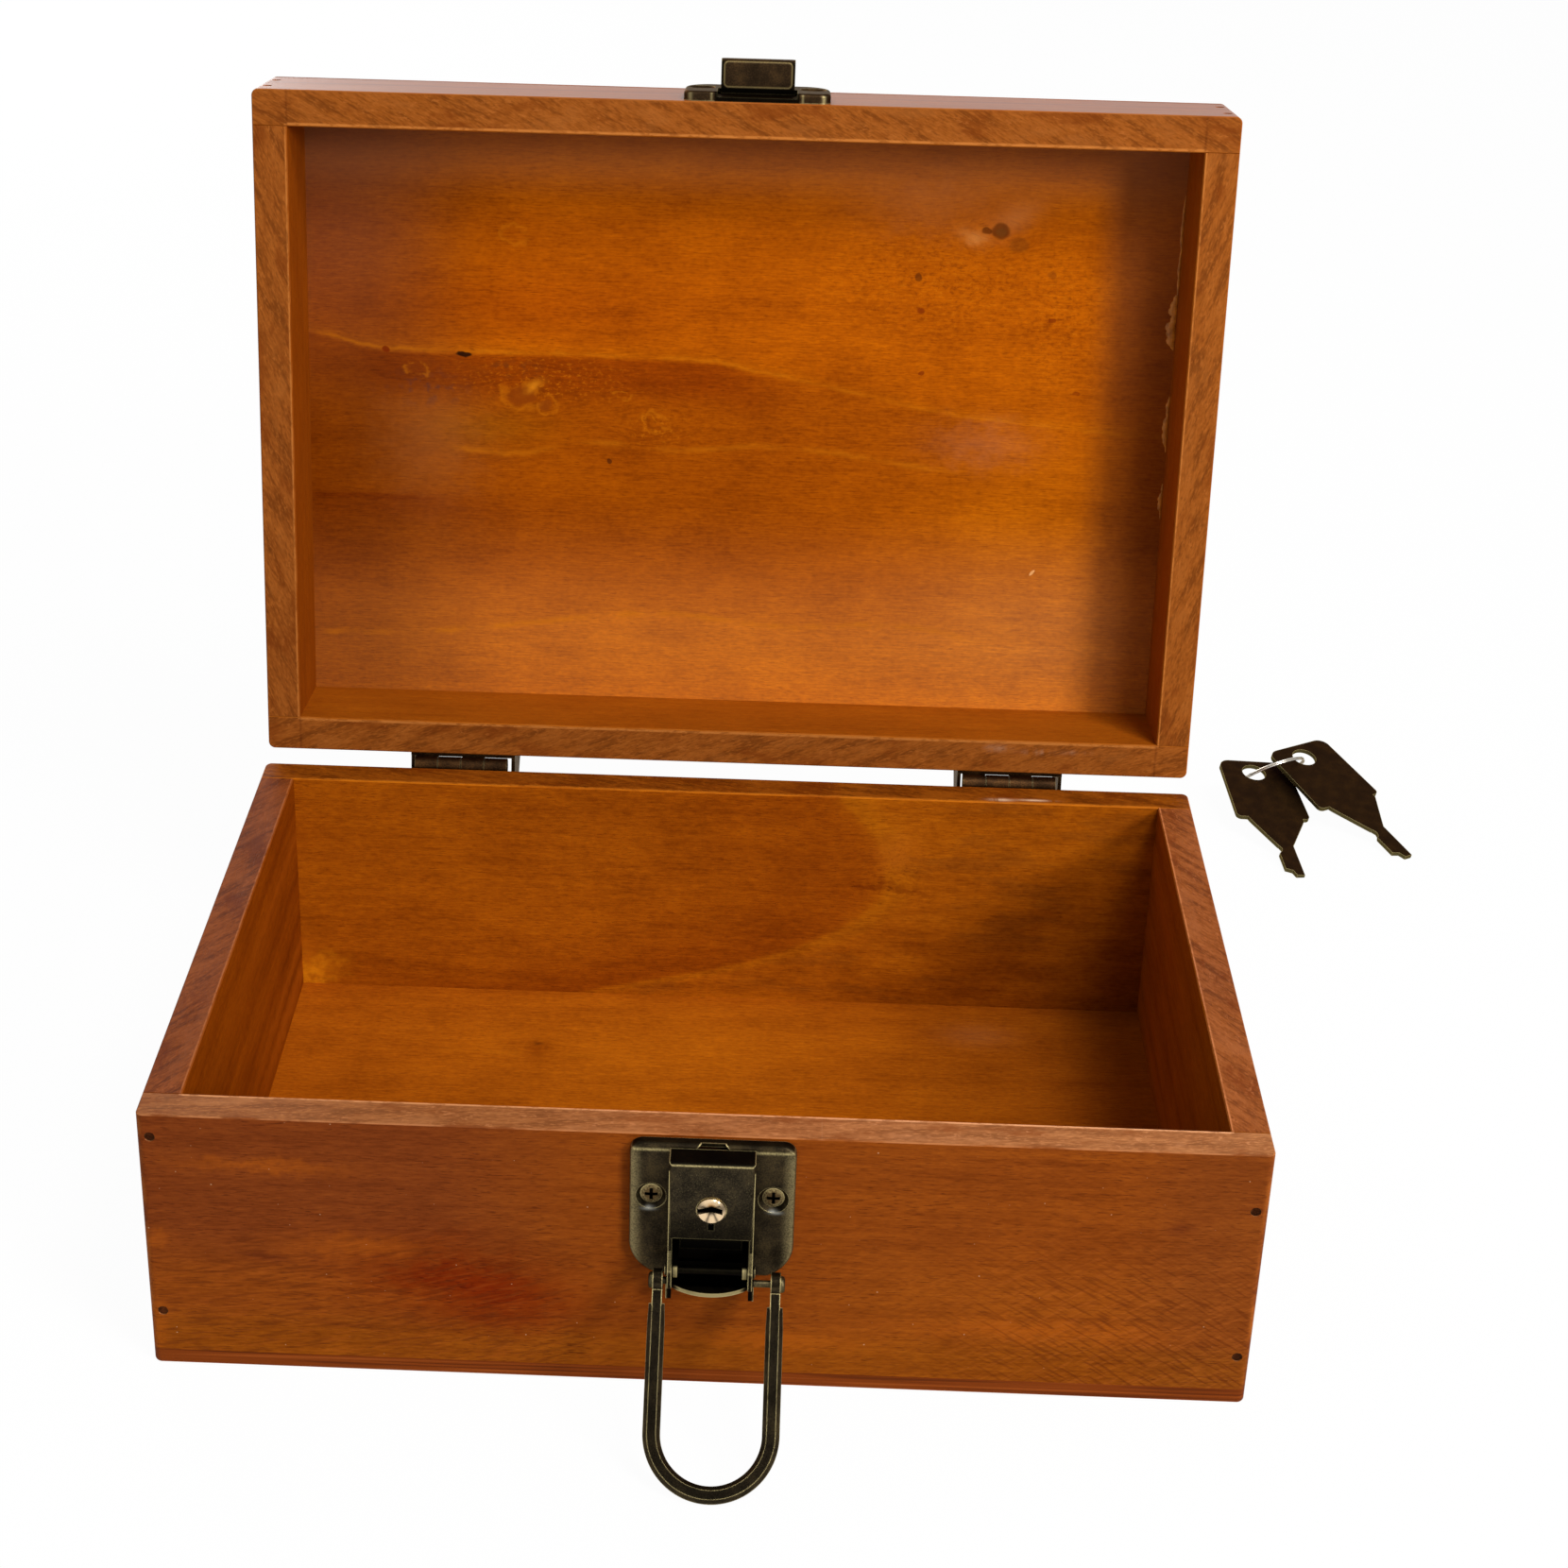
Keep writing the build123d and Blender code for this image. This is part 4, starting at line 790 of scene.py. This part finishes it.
class MetalLook(bpy.types.PropertyGroup):
    """How the fittings look."""

    bronze: colour_setting("Bronze", "The dark finish of the latch and hinges", (47, 39, 27))
    # Also the colour of the painted glints and highlights on the fittings
    worn_and_glint: colour_setting("Worn edge", "The brassy metal where the dark finish has rubbed off",
                         (196, 178, 124))
    brass: colour_setting("Lock brass", "The bright face of the key cylinder", (236, 206, 164))
    steel: colour_setting("Ring steel", "The bright wire of the key ring", (196, 190, 182))
    ring_wire: FloatProperty(
        name="Ring wire", description="Thickness of the wire that the key ring is wound from",
        default=0.00052, min=0.0002, max=0.001, unit="LENGTH")
    ring_turns: IntProperty(
        name="Ring turns", description="How many times the wire goes round", default=2, min=1, max=3)


class GlueLook(bpy.types.PropertyGroup):
    """The dried glue along the panel's seam."""

    colour: colour_setting("Glue", "The colour of the dried glue", (212, 132, 40))
    height: FloatProperty(
        name="Glue height", description="How far the glue stands off the panel",
        default=0.00035, min=0.0001, max=0.001, unit="LENGTH")


class StudioLook(bpy.types.PropertyGroup):
    """The lamps and the floor."""

    overhead_power: FloatProperty(
        name="Overhead lamp", description="Power of the large lamp above the box",
        default=12, unit="POWER")
    side_power: FloatProperty(
        name="Side lamp", description="Power of the lamp in front of the box, to its right",
        default=17, unit="POWER")
    back_power: FloatProperty(
        name="Back lamp", description="Power of the weak lamp behind the box", default=6, unit="POWER")
    surround: FloatProperty(
        name="Surround", description="Brightness of the room from every side", default=0.3, min=0, max=1)
    whiteness: FloatProperty(
        name="Floor whiteness", description="How far the floor is washed out to white where it is seen",
        default=0.97, min=0, max=1, subtype="FACTOR")
    floor_reach: FloatProperty(
        name="Floor reach", description="How far the floor goes from the box", default=4, unit="LENGTH")


class BOX_OT_body_boards(bpy.types.Operator):
    """Stains the five boards of the box"""

    bl_idname = "box.body_boards"
    bl_label = "Body boards"

    def execute(self, context):
        look = context.scene.box_wood
        dress(["body_front_board"], front_board(look))
        dress(["body_back_board"], back_board(look))
        for side, material in side_boards(look).items():
            dress([f"body_{side}_board"], material)
        dress(["bottom_panel"], floor_board(look))
        return {"FINISHED"}


class BOX_OT_lid_boards(bpy.types.Operator):
    """Stains the five boards of the lid"""

    bl_idname = "box.lid_boards"
    bl_label = "Lid boards"

    def execute(self, context):
        look = context.scene.box_wood
        for side, material in lid_rails(look).items():
            dress([f"lid_{side}_board"], material)
        dress(["lid_top_panel"], lid_panel(look))
        return {"FINISHED"}


class Metal(Finish):
    """Dark plated metal: olive speckle and soft patches, with thin bright lines where edges have rubbed."""

    def __init__(self, name, look, base=None, roughness=0.4):
        super().__init__(name, roughness=roughness, metallic=0.92)
        self.surface.socket.node.inputs["Specular Tint"].default_value = (0.5, 0.42, 0.3, 1)
        self.base = tuple(look.bronze if base is None else base)
        self.worn_and_glint = tuple(look.worn_and_glint)
        self.here = self.place()
        self.x, self.y, self.z = self.parts(self.here)
        self.out = self.facing()
        self.speckle = self.noise(self.here, scale=3, detail=4, rough=0.75)
        self.patches = self.noise(self.here, scale=0.26, detail=3)

    def faces(self, direction, start, end):
        """Goes smoothly from 0 to 1 as the surface turns towards a direction."""
        return self.step(self.along(self.out, direction), start, end)

    def plate(self, spread=1):
        """The plating: the base colour, darker and lighter by speckle and patches."""
        dark = shaded(self.base, (1 - 0.6 * spread,) * 3)
        light = shaded(self.base, (1 + 1.5 * spread, 1 + 1.4 * spread, 1 + 0.9 * spread))
        ramp = {"stops": [(0.39, dark), (0.5, self.base), (0.64, light)]}
        self.colour = self.node("ShaderNodeValToRGB", ramp, {0: self.speckle * 0.55 + self.patches * 0.45})

    def darken(self, mask, share):
        """Leaves this share of the colour under a mask."""
        self.wash(mask, (share, share, share))

    def paint_wear_and_highlight(self, mask, colour=None):
        """Paints the rubbed metal colour under a mask: for wear, and for painted highlights and glints."""
        self.paint(mask, colour or self.worn_and_glint)

    def rub_edges(self, radius=0.0004, wear=1, start=0.03, end=0.2):
        """Rubs the finish off sharp edges, unevenly."""
        uneven = self.step(self.speckle * 0.6 + self.patches * 0.4, 0.36, 0.52, 0.35, 1)
        self.paint_wear_and_highlight(self.edges(radius, start, end) * uneven * wear)

    def metal(self, depth=0.00003):
        """Joins colour, an uneven sheen and a fine grain to the surface."""
        rough = self.roughness + (self.speckle - 0.5) * 0.35
        return self.finish(self.colour, height=self.speckle, depth=depth, roughness=rough)


def plated(name, look, base=None, wear=1, roughness=0.4, spread=1, radius=0.0004):
    """A plain plated fitting with rubbed edges."""
    metal = Metal(name, look, base, roughness)
    metal.plate(spread)
    metal.rub_edges(radius, wear)
    return metal.metal()


class BOX_OT_nails(bpy.types.Operator):
    """Darkens the nails"""

    bl_idname = "box.nails"
    bl_label = "Nails"

    def execute(self, context):
        look = context.scene.box_metal
        iron = plated("dark nail iron", look, base=tint(62, 30, 13), wear=0.1, roughness=0.65)
        dress(["body_nails", "bottom_nails", "lid_nails"], iron)
        return {"FINISHED"}


class BOX_OT_hinges(bpy.types.Operator):
    """Finishes the two hinges, their pins and their screws"""

    bl_idname = "box.hinges"
    bl_label = "Hinges"

    def execute(self, context):
        look = context.scene.box_metal
        leaves = plated("hinge bronze", look, base=tint(46, 29, 15), wear=0.15)
        screws = plated("hinge screw bronze", look, base=tint(44, 38, 30), wear=0.7)
        pins = plated("hinge pin steel", look, base=tint(64, 48, 32), wear=0.2)
        for side in ("left", "right"):
            dress([f"{side}_hinge_body_leaf", f"{side}_hinge_lid_leaf"], leaves)
            dress([f"{side}_hinge_body_screws", f"{side}_hinge_lid_screws"], screws)
            dress([f"{side}_hinge_pin"], pins)
        return {"FINISHED"}


class BOX_OT_latch(bpy.types.Operator):
    """Finishes the latch plate, its lever, its lock and its loop"""

    bl_idname = "box.latch"
    bl_label = "Draw latch"

    def execute(self, context):
        look = context.scene.box_metal
        dress(["latch_base_plate"], self.plate_bronze(look))
        dress(["latch_lever"], self.lever_bronze(look))
        dress(["bail"], self.loop_bronze(look))
        dress(["lock_housing"], plated("housing bronze", look))
        dress(["latch_screws"], self.screw_bronze(look))
        dress(["latch_pivot_pin", "bail_pins"], self.pin_bronze(look))
        dress(["lock_cam", "lock_cam_clip"], plated("cam steel", look, base=tint(128, 124, 114), wear=0.5))
        dress(["key_cylinder"], self.lock_brass(look))
        return {"FINISHED"}

    def plate_bronze(self, look):
        """Darker round the screws, with a top painted dark as a reflection, painted shade in its hollow,
        painted glints under the screws, and lighter and brassy towards its two sides, partly rubbed and
        partly a painted highlight.
        """
        metal = Metal("latch plate bronze", look)
        metal.plate()
        aside = abs(metal.x - LATCH_X)
        front = metal.faces((0, -1, 0), 0.4, 0.8)
        grain = metal.step(metal.speckle, 0.34, 0.62, 0.3, 1)
        # Rubbed brass and painted highlight: bright bands just inside the side edges and along the top
        ears = metal.step(aside, 13.8, 16.6) * metal.step(metal.z, 62, 58)
        metal.paint_wear_and_highlight(ears * grain * 0.75, tint(148, 132, 92))
        metal.paint_wear_and_highlight(metal.hump((metal.z - 60.2) / 0.3) * metal.step(aside, 6.4, 7.6) * grain * 0.8)
        # Painted reflection: faces that look up are darkened
        metal.darken(metal.faces((0, 0, 1), 0.35, 0.8), 0.35)
        around = metal.step(aside, 15, 13.2) * metal.hump((metal.z - 48) / 7)
        metal.darken(around * front * 0.7, 0.3)
        # Painted shade: near black in the hollow behind the lever, where the edges stay unrubbed
        deep = metal.high(metal.step(metal.y, -88, -87.2), metal.step(metal.z, 31.8, 32.4))
        inside = metal.step(aside, 9, 8.4) * metal.step(metal.z, 57, 54) * deep
        metal.rub_edges(0.0005, wear=1 - inside)
        metal.darken(inside, 0.04)
        # Painted glints: a pale, bluish spot below each screw
        under = metal.hump((aside - 12.9) / 1.2) * metal.hump((metal.z - 45.9) / 0.4)
        metal.paint_wear_and_highlight(under * front * 0.7, tint(150, 150, 142))
        lip = metal.step(metal.y, -87.6, -88.4) * metal.step(aside, 8.4, 6)
        metal.paint_wear_and_highlight(lip * front * 0.6)
        return metal.metal()

    def lever_bronze(self, look):
        """A speckled face with bright folds, partly rubbed and partly a painted highlight, a top painted dark
        as a reflection, and painted shade inside.
        """
        metal = Metal("latch lever bronze", look, base=tint(41, 35, 26))
        metal.plate(0.9)
        front = metal.faces((0, -1, 0), 0.7, 0.95)
        flecks = metal.noise(metal.here, scale=5, detail=2, rough=0.7)
        metal.paint_wear_and_highlight(front * metal.step(flecks, 0.56, 0.72) * 0.16)
        metal.darken(front * metal.step(metal.z, 54, 42) * 0.95, 0.2)
        # Painted reflection: faces that look up are darkened
        metal.darken(metal.faces((0, 0, 1), 0.4, 0.8), 0.12)
        slot = metal.step(abs(metal.x - LATCH_X), 2.8, 2) * metal.step(abs(metal.z - SLOT_Z), 2.6, 1.9)
        metal.rub_edges(0.0005, wear=1.3 - slot * 1.2)
        # Painted highlight and wear: a bright line where the fold turns halfway up
        fold = metal.hump((metal.along(metal.out, (0, 0, 1)) - 0.45) / 0.18)
        metal.paint_wear_and_highlight(fold * metal.step(metal.speckle, 0.34, 0.6, 0.4, 1) * 0.7)
        # Painted shade: near black inside the lever, below its face
        within = metal.step(abs(metal.x - LATCH_X), 8.2, 7.7)
        metal.darken(metal.step(metal.z, 43.4, 42.8) * within * metal.step(metal.y, -90.3, -89.8), 0.04)
        return metal.metal()

    def loop_bronze(self, look):
        """A dark flat face between lighter bevels, with a bright line along each bevel's edge."""
        metal = Metal("loop bronze", look, base=tint(45, 38, 27), roughness=0.32)
        metal.plate(0.8)
        flat = metal.step(abs(metal.along(metal.out, (0, -0.72, 0.694))), 0.86, 0.96)
        metal.darken(flat, 0.3)
        metal.rub_edges(0.0004, wear=1.2, start=0.02, end=0.12)
        return metal.metal()

    def screw_bronze(self, look):
        """Brassy rims round cross recesses painted black as shade."""
        metal = Metal("latch screw bronze", look, base=tint(84, 66, 42))
        metal.plate(0.6)
        over, rise = abs(abs(metal.x - LATCH_X) - SCREW_ASIDE), abs(metal.z - SCREW_Z)
        reach = over * over + rise * rise
        metal.paint_wear_and_highlight(metal.step(reach, 1.2, 2.8) * metal.step(metal.speckle, 0.4, 0.6) * 0.4)
        metal.rub_edges(0.0004, wear=metal.step(reach, 3.2, 4.2))
        # Painted shade: near black in the cross recesses and in the deeper middle of each head
        arms = metal.step(metal.low(over, rise), 0.42, 0.3) * metal.step(metal.high(over, rise), 1.42, 1.3)
        metal.darken(metal.high(arms, metal.step(metal.y, -82.5, -82.3) * metal.step(reach, 2.8, 2.2)), 0.02)
        return metal.metal()

    def pin_bronze(self, look):
        """Pins that are bright outside the lever, with painted shade making them black inside it."""
        metal = Metal("pin bronze", look, base=tint(70, 62, 44))
        metal.plate()
        metal.rub_edges(wear=0.8)
        # Painted shade: near black where the pins run inside the lever
        metal.darken(metal.step(abs(metal.x - LATCH_X), 9.2, 8.8), 0.04)
        return metal.metal()

    def lock_brass(self, look):
        """Polished brass with painted dark reflections in sectors round its middle, and painted shade in the
        keyway.
        """
        metal = Metal("lock brass", look, base=tuple(look.brass), roughness=0.16)
        metal.plate(0.12)
        angle = metal.maths("ARCTAN2", metal.z - LOCK_Z, metal.x - LATCH_X)
        # Painted reflections: dark sectors round the middle of the polished face
        for heading, spread in ((-1.05, 0.16), (-1.95, 0.16), (0.4, 0.5), (2.7, 0.4)):
            metal.darken(metal.hump((angle - heading) / spread) * 0.85, 0.1)
        # Painted shade: near black in the keyway, behind the face
        metal.darken(metal.step(metal.y, -89.5, -89), 0.03)
        metal.rub_edges(0.0002, wear=0.3)
        return metal.metal(depth=0.00001)


class BOX_OT_striker(bpy.types.Operator):
    """Finishes the striker that the loop hooks over"""

    bl_idname = "box.striker"
    bl_label = "Striker"

    def execute(self, context):
        look = context.scene.box_metal
        dress(["striker_plate"], self.striker_bronze(look))
        dress(["striker_screws"], plated("striker screw bronze", look, base=tint(52, 46, 36), wear=0.8))
        return {"FINISHED"}

    def striker_bronze(self, look):
        """A brown hook with a painted highlight just inside its outline and painted shade beyond it, over a
        pocket painted black as shade, and painted glints on its ears.
        """
        metal = Metal("striker bronze", look, base=tint(46, 33, 20))
        metal.plate(0.8)
        x, y, _ = metal.parts(metal.close_lid(metal.here))
        out = metal.close_lid(metal.out, (0, 0, 0))
        under = metal.step(metal.along(out, (0, 0, -1)), 0.6, 0.9)
        aside = abs(x - STRIKER_X)
        across, along = aside - 6.9, abs(y + 86.2) - 1.9
        past = metal.vector(metal.high(across, 0), metal.high(along, 0), 0)
        inset = metal.node("ShaderNodeVectorMath", {"operation": "LENGTH"}, {0: past}, "Value") - 1
        inset = inset + metal.low(metal.high(across, along), 0)
        metal.rub_edges(0.0005, wear=0.7)
        # Painted shade and highlight: darker beyond a bright line just inside the hook's outline
        hook = metal.step(aside, 9, 8.7) * metal.step(y, -81.9, -82.3)
        metal.darken(hook * under * metal.step(inset, 0, 0.3), 0.15)
        metal.paint_wear_and_highlight(hook * under * metal.hump(inset / 0.18) * 0.6, tint(136, 118, 76))
        # Painted shade: near black in the pocket under the hook
        metal.darken(metal.step(aside, 10.2, 9.6) * metal.step(y, -83.1, -82.8), 0.08)
        # Painted glints: bright streaks down the ears
        metal.paint_wear_and_highlight(under * metal.hump((aside - 15.6) / 0.5) * 0.32)
        metal.paint_wear_and_highlight(under * metal.hump((aside - 10.6) / 0.25) * 0.28)
        return metal.metal()


def grid_mesh(name, places, closed=(False, False), caps=False):
    """Joins a grid of places, rows by columns by 3, into four-sided faces, with flat ends if asked."""
    rows, columns = places.shape[:2]
    index = np.arange(rows * columns).reshape(rows, columns)
    if closed[0]:
        index = np.vstack([index, index[:1]])
    if closed[1]:
        index = np.hstack([index, index[:, :1]])
    quads = np.stack([index[:-1, :-1], index[:-1, 1:], index[1:, 1:], index[1:, :-1]], axis=-1)
    faces = quads.reshape(-1, 4).tolist()
    if caps:
        faces += [index[0, columns - 1::-1].tolist(), index[-1, :columns].tolist()]
    mesh = bpy.data.meshes.new(name)
    mesh.from_pydata(places.reshape(-1, 3), [], faces)
    piece = bpy.data.objects.new(name, mesh)
    bpy.context.scene.collection.objects.link(piece)
    return piece


def tube(name, path, up, across_reach, up_reach, sides=12):
    """Carries an oval along a path.

    A point is the path's place, plus across times the cosine of its angle round the oval times the reach
    across, plus up times the sine of that angle times the reach up. Across is up crossed with the path's
    own direction.
    """
    ahead = np.gradient(path, axis=0)
    ahead /= np.linalg.norm(ahead, axis=1, keepdims=True)
    across = np.cross(up, ahead)
    across /= np.linalg.norm(across, axis=1, keepdims=True)
    angle = np.linspace(0, 2 * np.pi, sides, endpoint=False)
    wide = across[:, None] * (np.cos(angle)[:, None] * across_reach[:, None, None])
    high = np.asarray(up)[None, None] * (np.sin(angle)[:, None] * up_reach[:, None, None])
    return grid_mesh(name, path[:, None] + wide + high, closed=(False, True), caps=True)


class BOX_OT_keys(bpy.types.Operator):
    """Finishes the two keys and winds their split ring"""

    bl_idname = "box.keys"
    bl_label = "Keys"

    def execute(self, context):
        look = context.scene.box_metal
        dress(["key_1", "key_2"], self.key_bronze(look))
        steel = plated("ring steel", look, base=tuple(look.steel), wear=0.3, roughness=0.22, spread=0.3)
        dress(["key_ring"], steel)
        ring = self.wind_ring(look)
        ring.data.materials.append(steel)
        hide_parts("key_ring")
        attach(ring, "keys")
        return {"FINISHED"}

    def key_bronze(self, look):
        """Dark brown flats with paler, olive edges."""
        metal = Metal("key bronze", look, base=tint(38, 24, 10), roughness=0.5)
        metal.plate(0.5)
        flat = abs(metal.along(metal.out, (0, 0, 1)))
        metal.paint_wear_and_highlight(metal.step(flat, 0.8, 0.5) * 0.5, tint(112, 102, 62))
        metal.rub_edges(0.0003, wear=0.8)
        return metal.metal()

    def wind_ring(self, look):
        """The ring that the frame holds, wound from thinner wire.

        Its middle is the middle of the CAD ring's bounds, its axis the direction in which that ring spreads
        least, and its radius halfway between that ring's least and greatest distances. The wire's place is
        the middle, plus the radius times the cosine and sine of the angle along the other two directions,
        plus the axis times a shift that steps by one wire in the middle of the winding.
        """
        mesh = NODES["key_ring"].data
        places = np.empty(len(mesh.vertices) * 3)
        mesh.vertices.foreach_get("co", places)
        places = places.reshape(-1, 3)
        middle = (places.min(axis=0) + places.max(axis=0)) / 2
        first, second, _ = np.linalg.svd(places - middle, full_matrices=False)[2]
        axis = np.cross(first, second)
        reach = np.linalg.norm(places - middle, axis=1)
        radius = (reach.min() + reach.max()) / 2
        angle = np.linspace(0.3, 2 * np.pi * look.ring_turns + 0.2, 96 * look.ring_turns + 1)
        wire = look.ring_wire / 2
        shift = np.tanh((angle - angle.mean()) / 0.5) * wire * 0.98
        path = middle + radius * (np.cos(angle)[:, None] * first + np.sin(angle)[:, None] * second)
        path = path + shift[:, None] * axis
        reach = np.full(len(angle), wire)
        return tube("split_ring", path, axis, reach, reach)


class BOX_OT_glue(bpy.types.Operator):
    """Lays the dried glue along the right seam of the lid's panel"""

    bl_idname = "box.glue"
    bl_label = "Dried glue"

    def execute(self, context):
        look = context.scene.box_glue
        glue = Finish("dried glue", roughness=0.35, gloss=0.3)
        here = glue.place()
        cloudy = glue.noise(here, scale=0.5, detail=3)
        thin, thick = shaded(tuple(look.colour), (0.55, 0.5, 0.4)), tuple(look.colour)
        colour = glue.node("ShaderNodeValToRGB", {"stops": [(0.35, thin), (0.62, thick)]}, {0: cloudy})
        material = glue.finish(colour, height=cloudy, depth=0.00005)
        flakes = ((-59, -33.5, 0.7), (-35, -21.5, 2.2), (-10, 4, 1.2), (12, 21, 0.9))
        for number, (first, last, widest) in enumerate(flakes):
            flake = self.lay_flake(f"glue_flake_{number + 1}", look, first, last, widest, number)
            flake.data.materials.append(material)
            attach(flake, "lid")
        return {"FINISHED"}

    def lay_flake(self, name, look, first, last, widest, seed):
        """A flat flake along the panel's right seam, in the shut lid's millimetres, then opened with the lid.

        Its half width is the greatest one times the square root of the sine of the way along, times one plus
        three small waves, and its middle line leans off the seam by that half width.
        """
        share = np.linspace(0, 1, 41)
        waves = 0.24 * np.sin(share * 9 + seed) + 0.16 * np.sin(share * 21 + 2 * seed)
        waves = waves + 0.1 * np.sin(share * 47)
        width = widest * np.sqrt(np.sin(np.pi * np.clip(share, 0.02, 0.98))) * (1 + waves) / 2
        seam = WALL_X - 0.05
        out = first + (last - first) * share - HINGE_Y
        rise = PANEL_FACE - HINGE_Z
        cosine, sine = math.cos(LID_ANGLE), math.sin(LID_ANGLE)
        opened = np.stack([seam - width, HINGE_Y + out * cosine + rise * sine,
                           HINGE_Z - out * sine + rise * cosine], axis=1) / MM_PER_M
        up = np.array([0, sine, cosine])
        height = np.minimum(width / MM_PER_M / 2, look.height)
        return tube(name, opened, up, width / MM_PER_M, height, sides=10)


class BOX_OT_stage(bpy.types.Operator):
    """Lays the pale floor, hangs the lamps and sets the camera"""

    bl_idname = "box.stage"
    bl_label = "Stage"

    def execute(self, context):
        look = context.scene.box_studio
        self.lay_floor(look)
        self.hang_lamps(context, look)
        self.light_room(context, look)
        self.set_camera(context)
        context.scene.view_settings.view_transform = "Standard"
        return {"FINISHED"}

    def lay_floor(self, look):
        """A flat grid at the height of the box's underside, washed out to white where it is seen."""
        side = np.linspace(-look.floor_reach, look.floor_reach, 9)
        across, along = np.meshgrid(side, side)
        floor = grid_mesh("floor", np.stack([across, along, np.zeros_like(across)], axis=-1))
        paper = Finish("floor paper", roughness=0.9, gloss=0.1)
        fleck = paper.noise(paper.place(), scale=0.02)
        ramp = {"stops": [(0.3, 0.86), (0.7, 0.9)]}
        colour = paper.node("ShaderNodeValToRGB", ramp, {0: fleck})
        glow = paper.node("ShaderNodeEmission", None, {"Color": (1, 1, 1, 1), "Strength": 1})
        joined = paper.blend(paper.seen_plainly() * look.whiteness, paper.surface, glow)
        floor.data.materials.append(paper.finish(colour, shader=joined))

    def hang_lamps(self, context, look):
        """One lamp overhead, one in front to the right that shades the lid's right wall, one behind."""
        for name, power, spot, aim, size in (
            ("overhead lamp", look.overhead_power, (0.5, -0.62, 1.3), (0, 0, 0.05), 0.45),
            ("side lamp", look.side_power, (1.05, -1.15, 0.8), (0, 0.1, 0.15), 0.4),
            ("back lamp", look.back_power, (-0.6, 1.3, 0.6), (0, 0, 0.1), 0.6),
        ):
            lamp = bpy.data.lights.new(name, "AREA")
            lamp.energy = power
            lamp.shape = "SQUARE"
            lamp.size = size
            away = np.array(spot) - np.array(aim)
            away = away / np.linalg.norm(away)
            right = np.cross((0, 0, 1), away)
            right = right / np.linalg.norm(right)
            self.place(context, name, lamp, (right, np.cross(away, right), away), spot)

    def place(self, context, name, data, axes, spot):
        """Puts a lamp or a camera at a spot, turned so that its own axes lie along these."""
        holder = bpy.data.objects.new(name, data)
        context.scene.collection.objects.link(holder)
        turned = np.identity(4)
        turned[:3, :3] = np.stack(axes, axis=1)
        turned[:3, 3] = spot
        holder.matrix_world = Matrix(turned.tolist())
        return holder

    def light_room(self, context, look):
        """An even room that is white where it is seen and weaker where it lights the box."""
        world = bpy.data.worlds.new("studio")
        world.use_nodes = True
        context.scene.world = world
        room = Graph(world.node_tree)
        white = (1, 1, 1, 1)
        lighting = room.node("ShaderNodeBackground", None, {"Color": white, "Strength": look.surround})
        seen = room.node("ShaderNodeBackground", None, {"Color": white, "Strength": 1})
        room.node("ShaderNodeOutputWorld", None, {"Surface": room.blend(room.seen_plainly(), lighting, seen)})

    def set_camera(self, context):
        """The photograph's own viewpoint: in front of the box, a little above, looking down at it."""
        view = bpy.data.cameras.new("view")
        view.sensor_width = 36
        view.lens = 67.5816
        view.shift_x = 0.05231
        view.shift_y = 0.03568
        view.clip_start = 0.05
        view.clip_end = 30
        right = np.array([0.99918, 0.03477, 0.0205])
        up = np.array([-0.03429, 0.46323, 0.88557])
        back = np.array([0.0213, -0.88555, 0.46405])
        spot = (0.01034, -0.5775, 0.3897)
        context.scene.camera = self.place(context, "view", view, (right, up, back), spot)


class BOX_PT_dresser(bpy.types.Panel):
    """Lists the pieces and the looks in the sidebar"""

    bl_idname = "BOX_PT_dresser"
    bl_label = "Wooden Box"
    bl_space_type = "VIEW_3D"
    bl_region_type = "UI"
    bl_category = "Wooden Box"

    def draw(self, context):
        column = self.layout.column()
        for name in LOOKS:
            group = getattr(context.scene, name)
            for key in group.bl_rna.properties.keys():
                if key not in {"rna_type", "name"}:
                    column.prop(group, key)
        for operator in OPERATORS:
            column.operator(operator.bl_idname)


LOOKS = {"box_wood": WoodLook, "box_metal": MetalLook, "box_glue": GlueLook, "box_studio": StudioLook}
OPERATORS = (
    BOX_OT_body_boards,
    BOX_OT_lid_boards,
    BOX_OT_nails,
    BOX_OT_hinges,
    BOX_OT_latch,
    BOX_OT_striker,
    BOX_OT_keys,
    BOX_OT_glue,
    BOX_OT_stage,
)
CLASSES = (*LOOKS.values(), *OPERATORS, BOX_PT_dresser)


def register():
    for kind in CLASSES:
        bpy.utils.register_class(kind)
    for name, kind in LOOKS.items():
        setattr(bpy.types.Scene, name, PointerProperty(type=kind))


def unregister():
    for name in LOOKS:
        delattr(bpy.types.Scene, name)
    for kind in reversed(CLASSES):
        bpy.utils.unregister_class(kind)


def main():
    """Runs every operator in turn."""
    register()
    for operator in OPERATORS:
        group, name = operator.bl_idname.split(".")
        getattr(getattr(bpy.ops, group), name)()


if __name__ == "__main__":
    main()
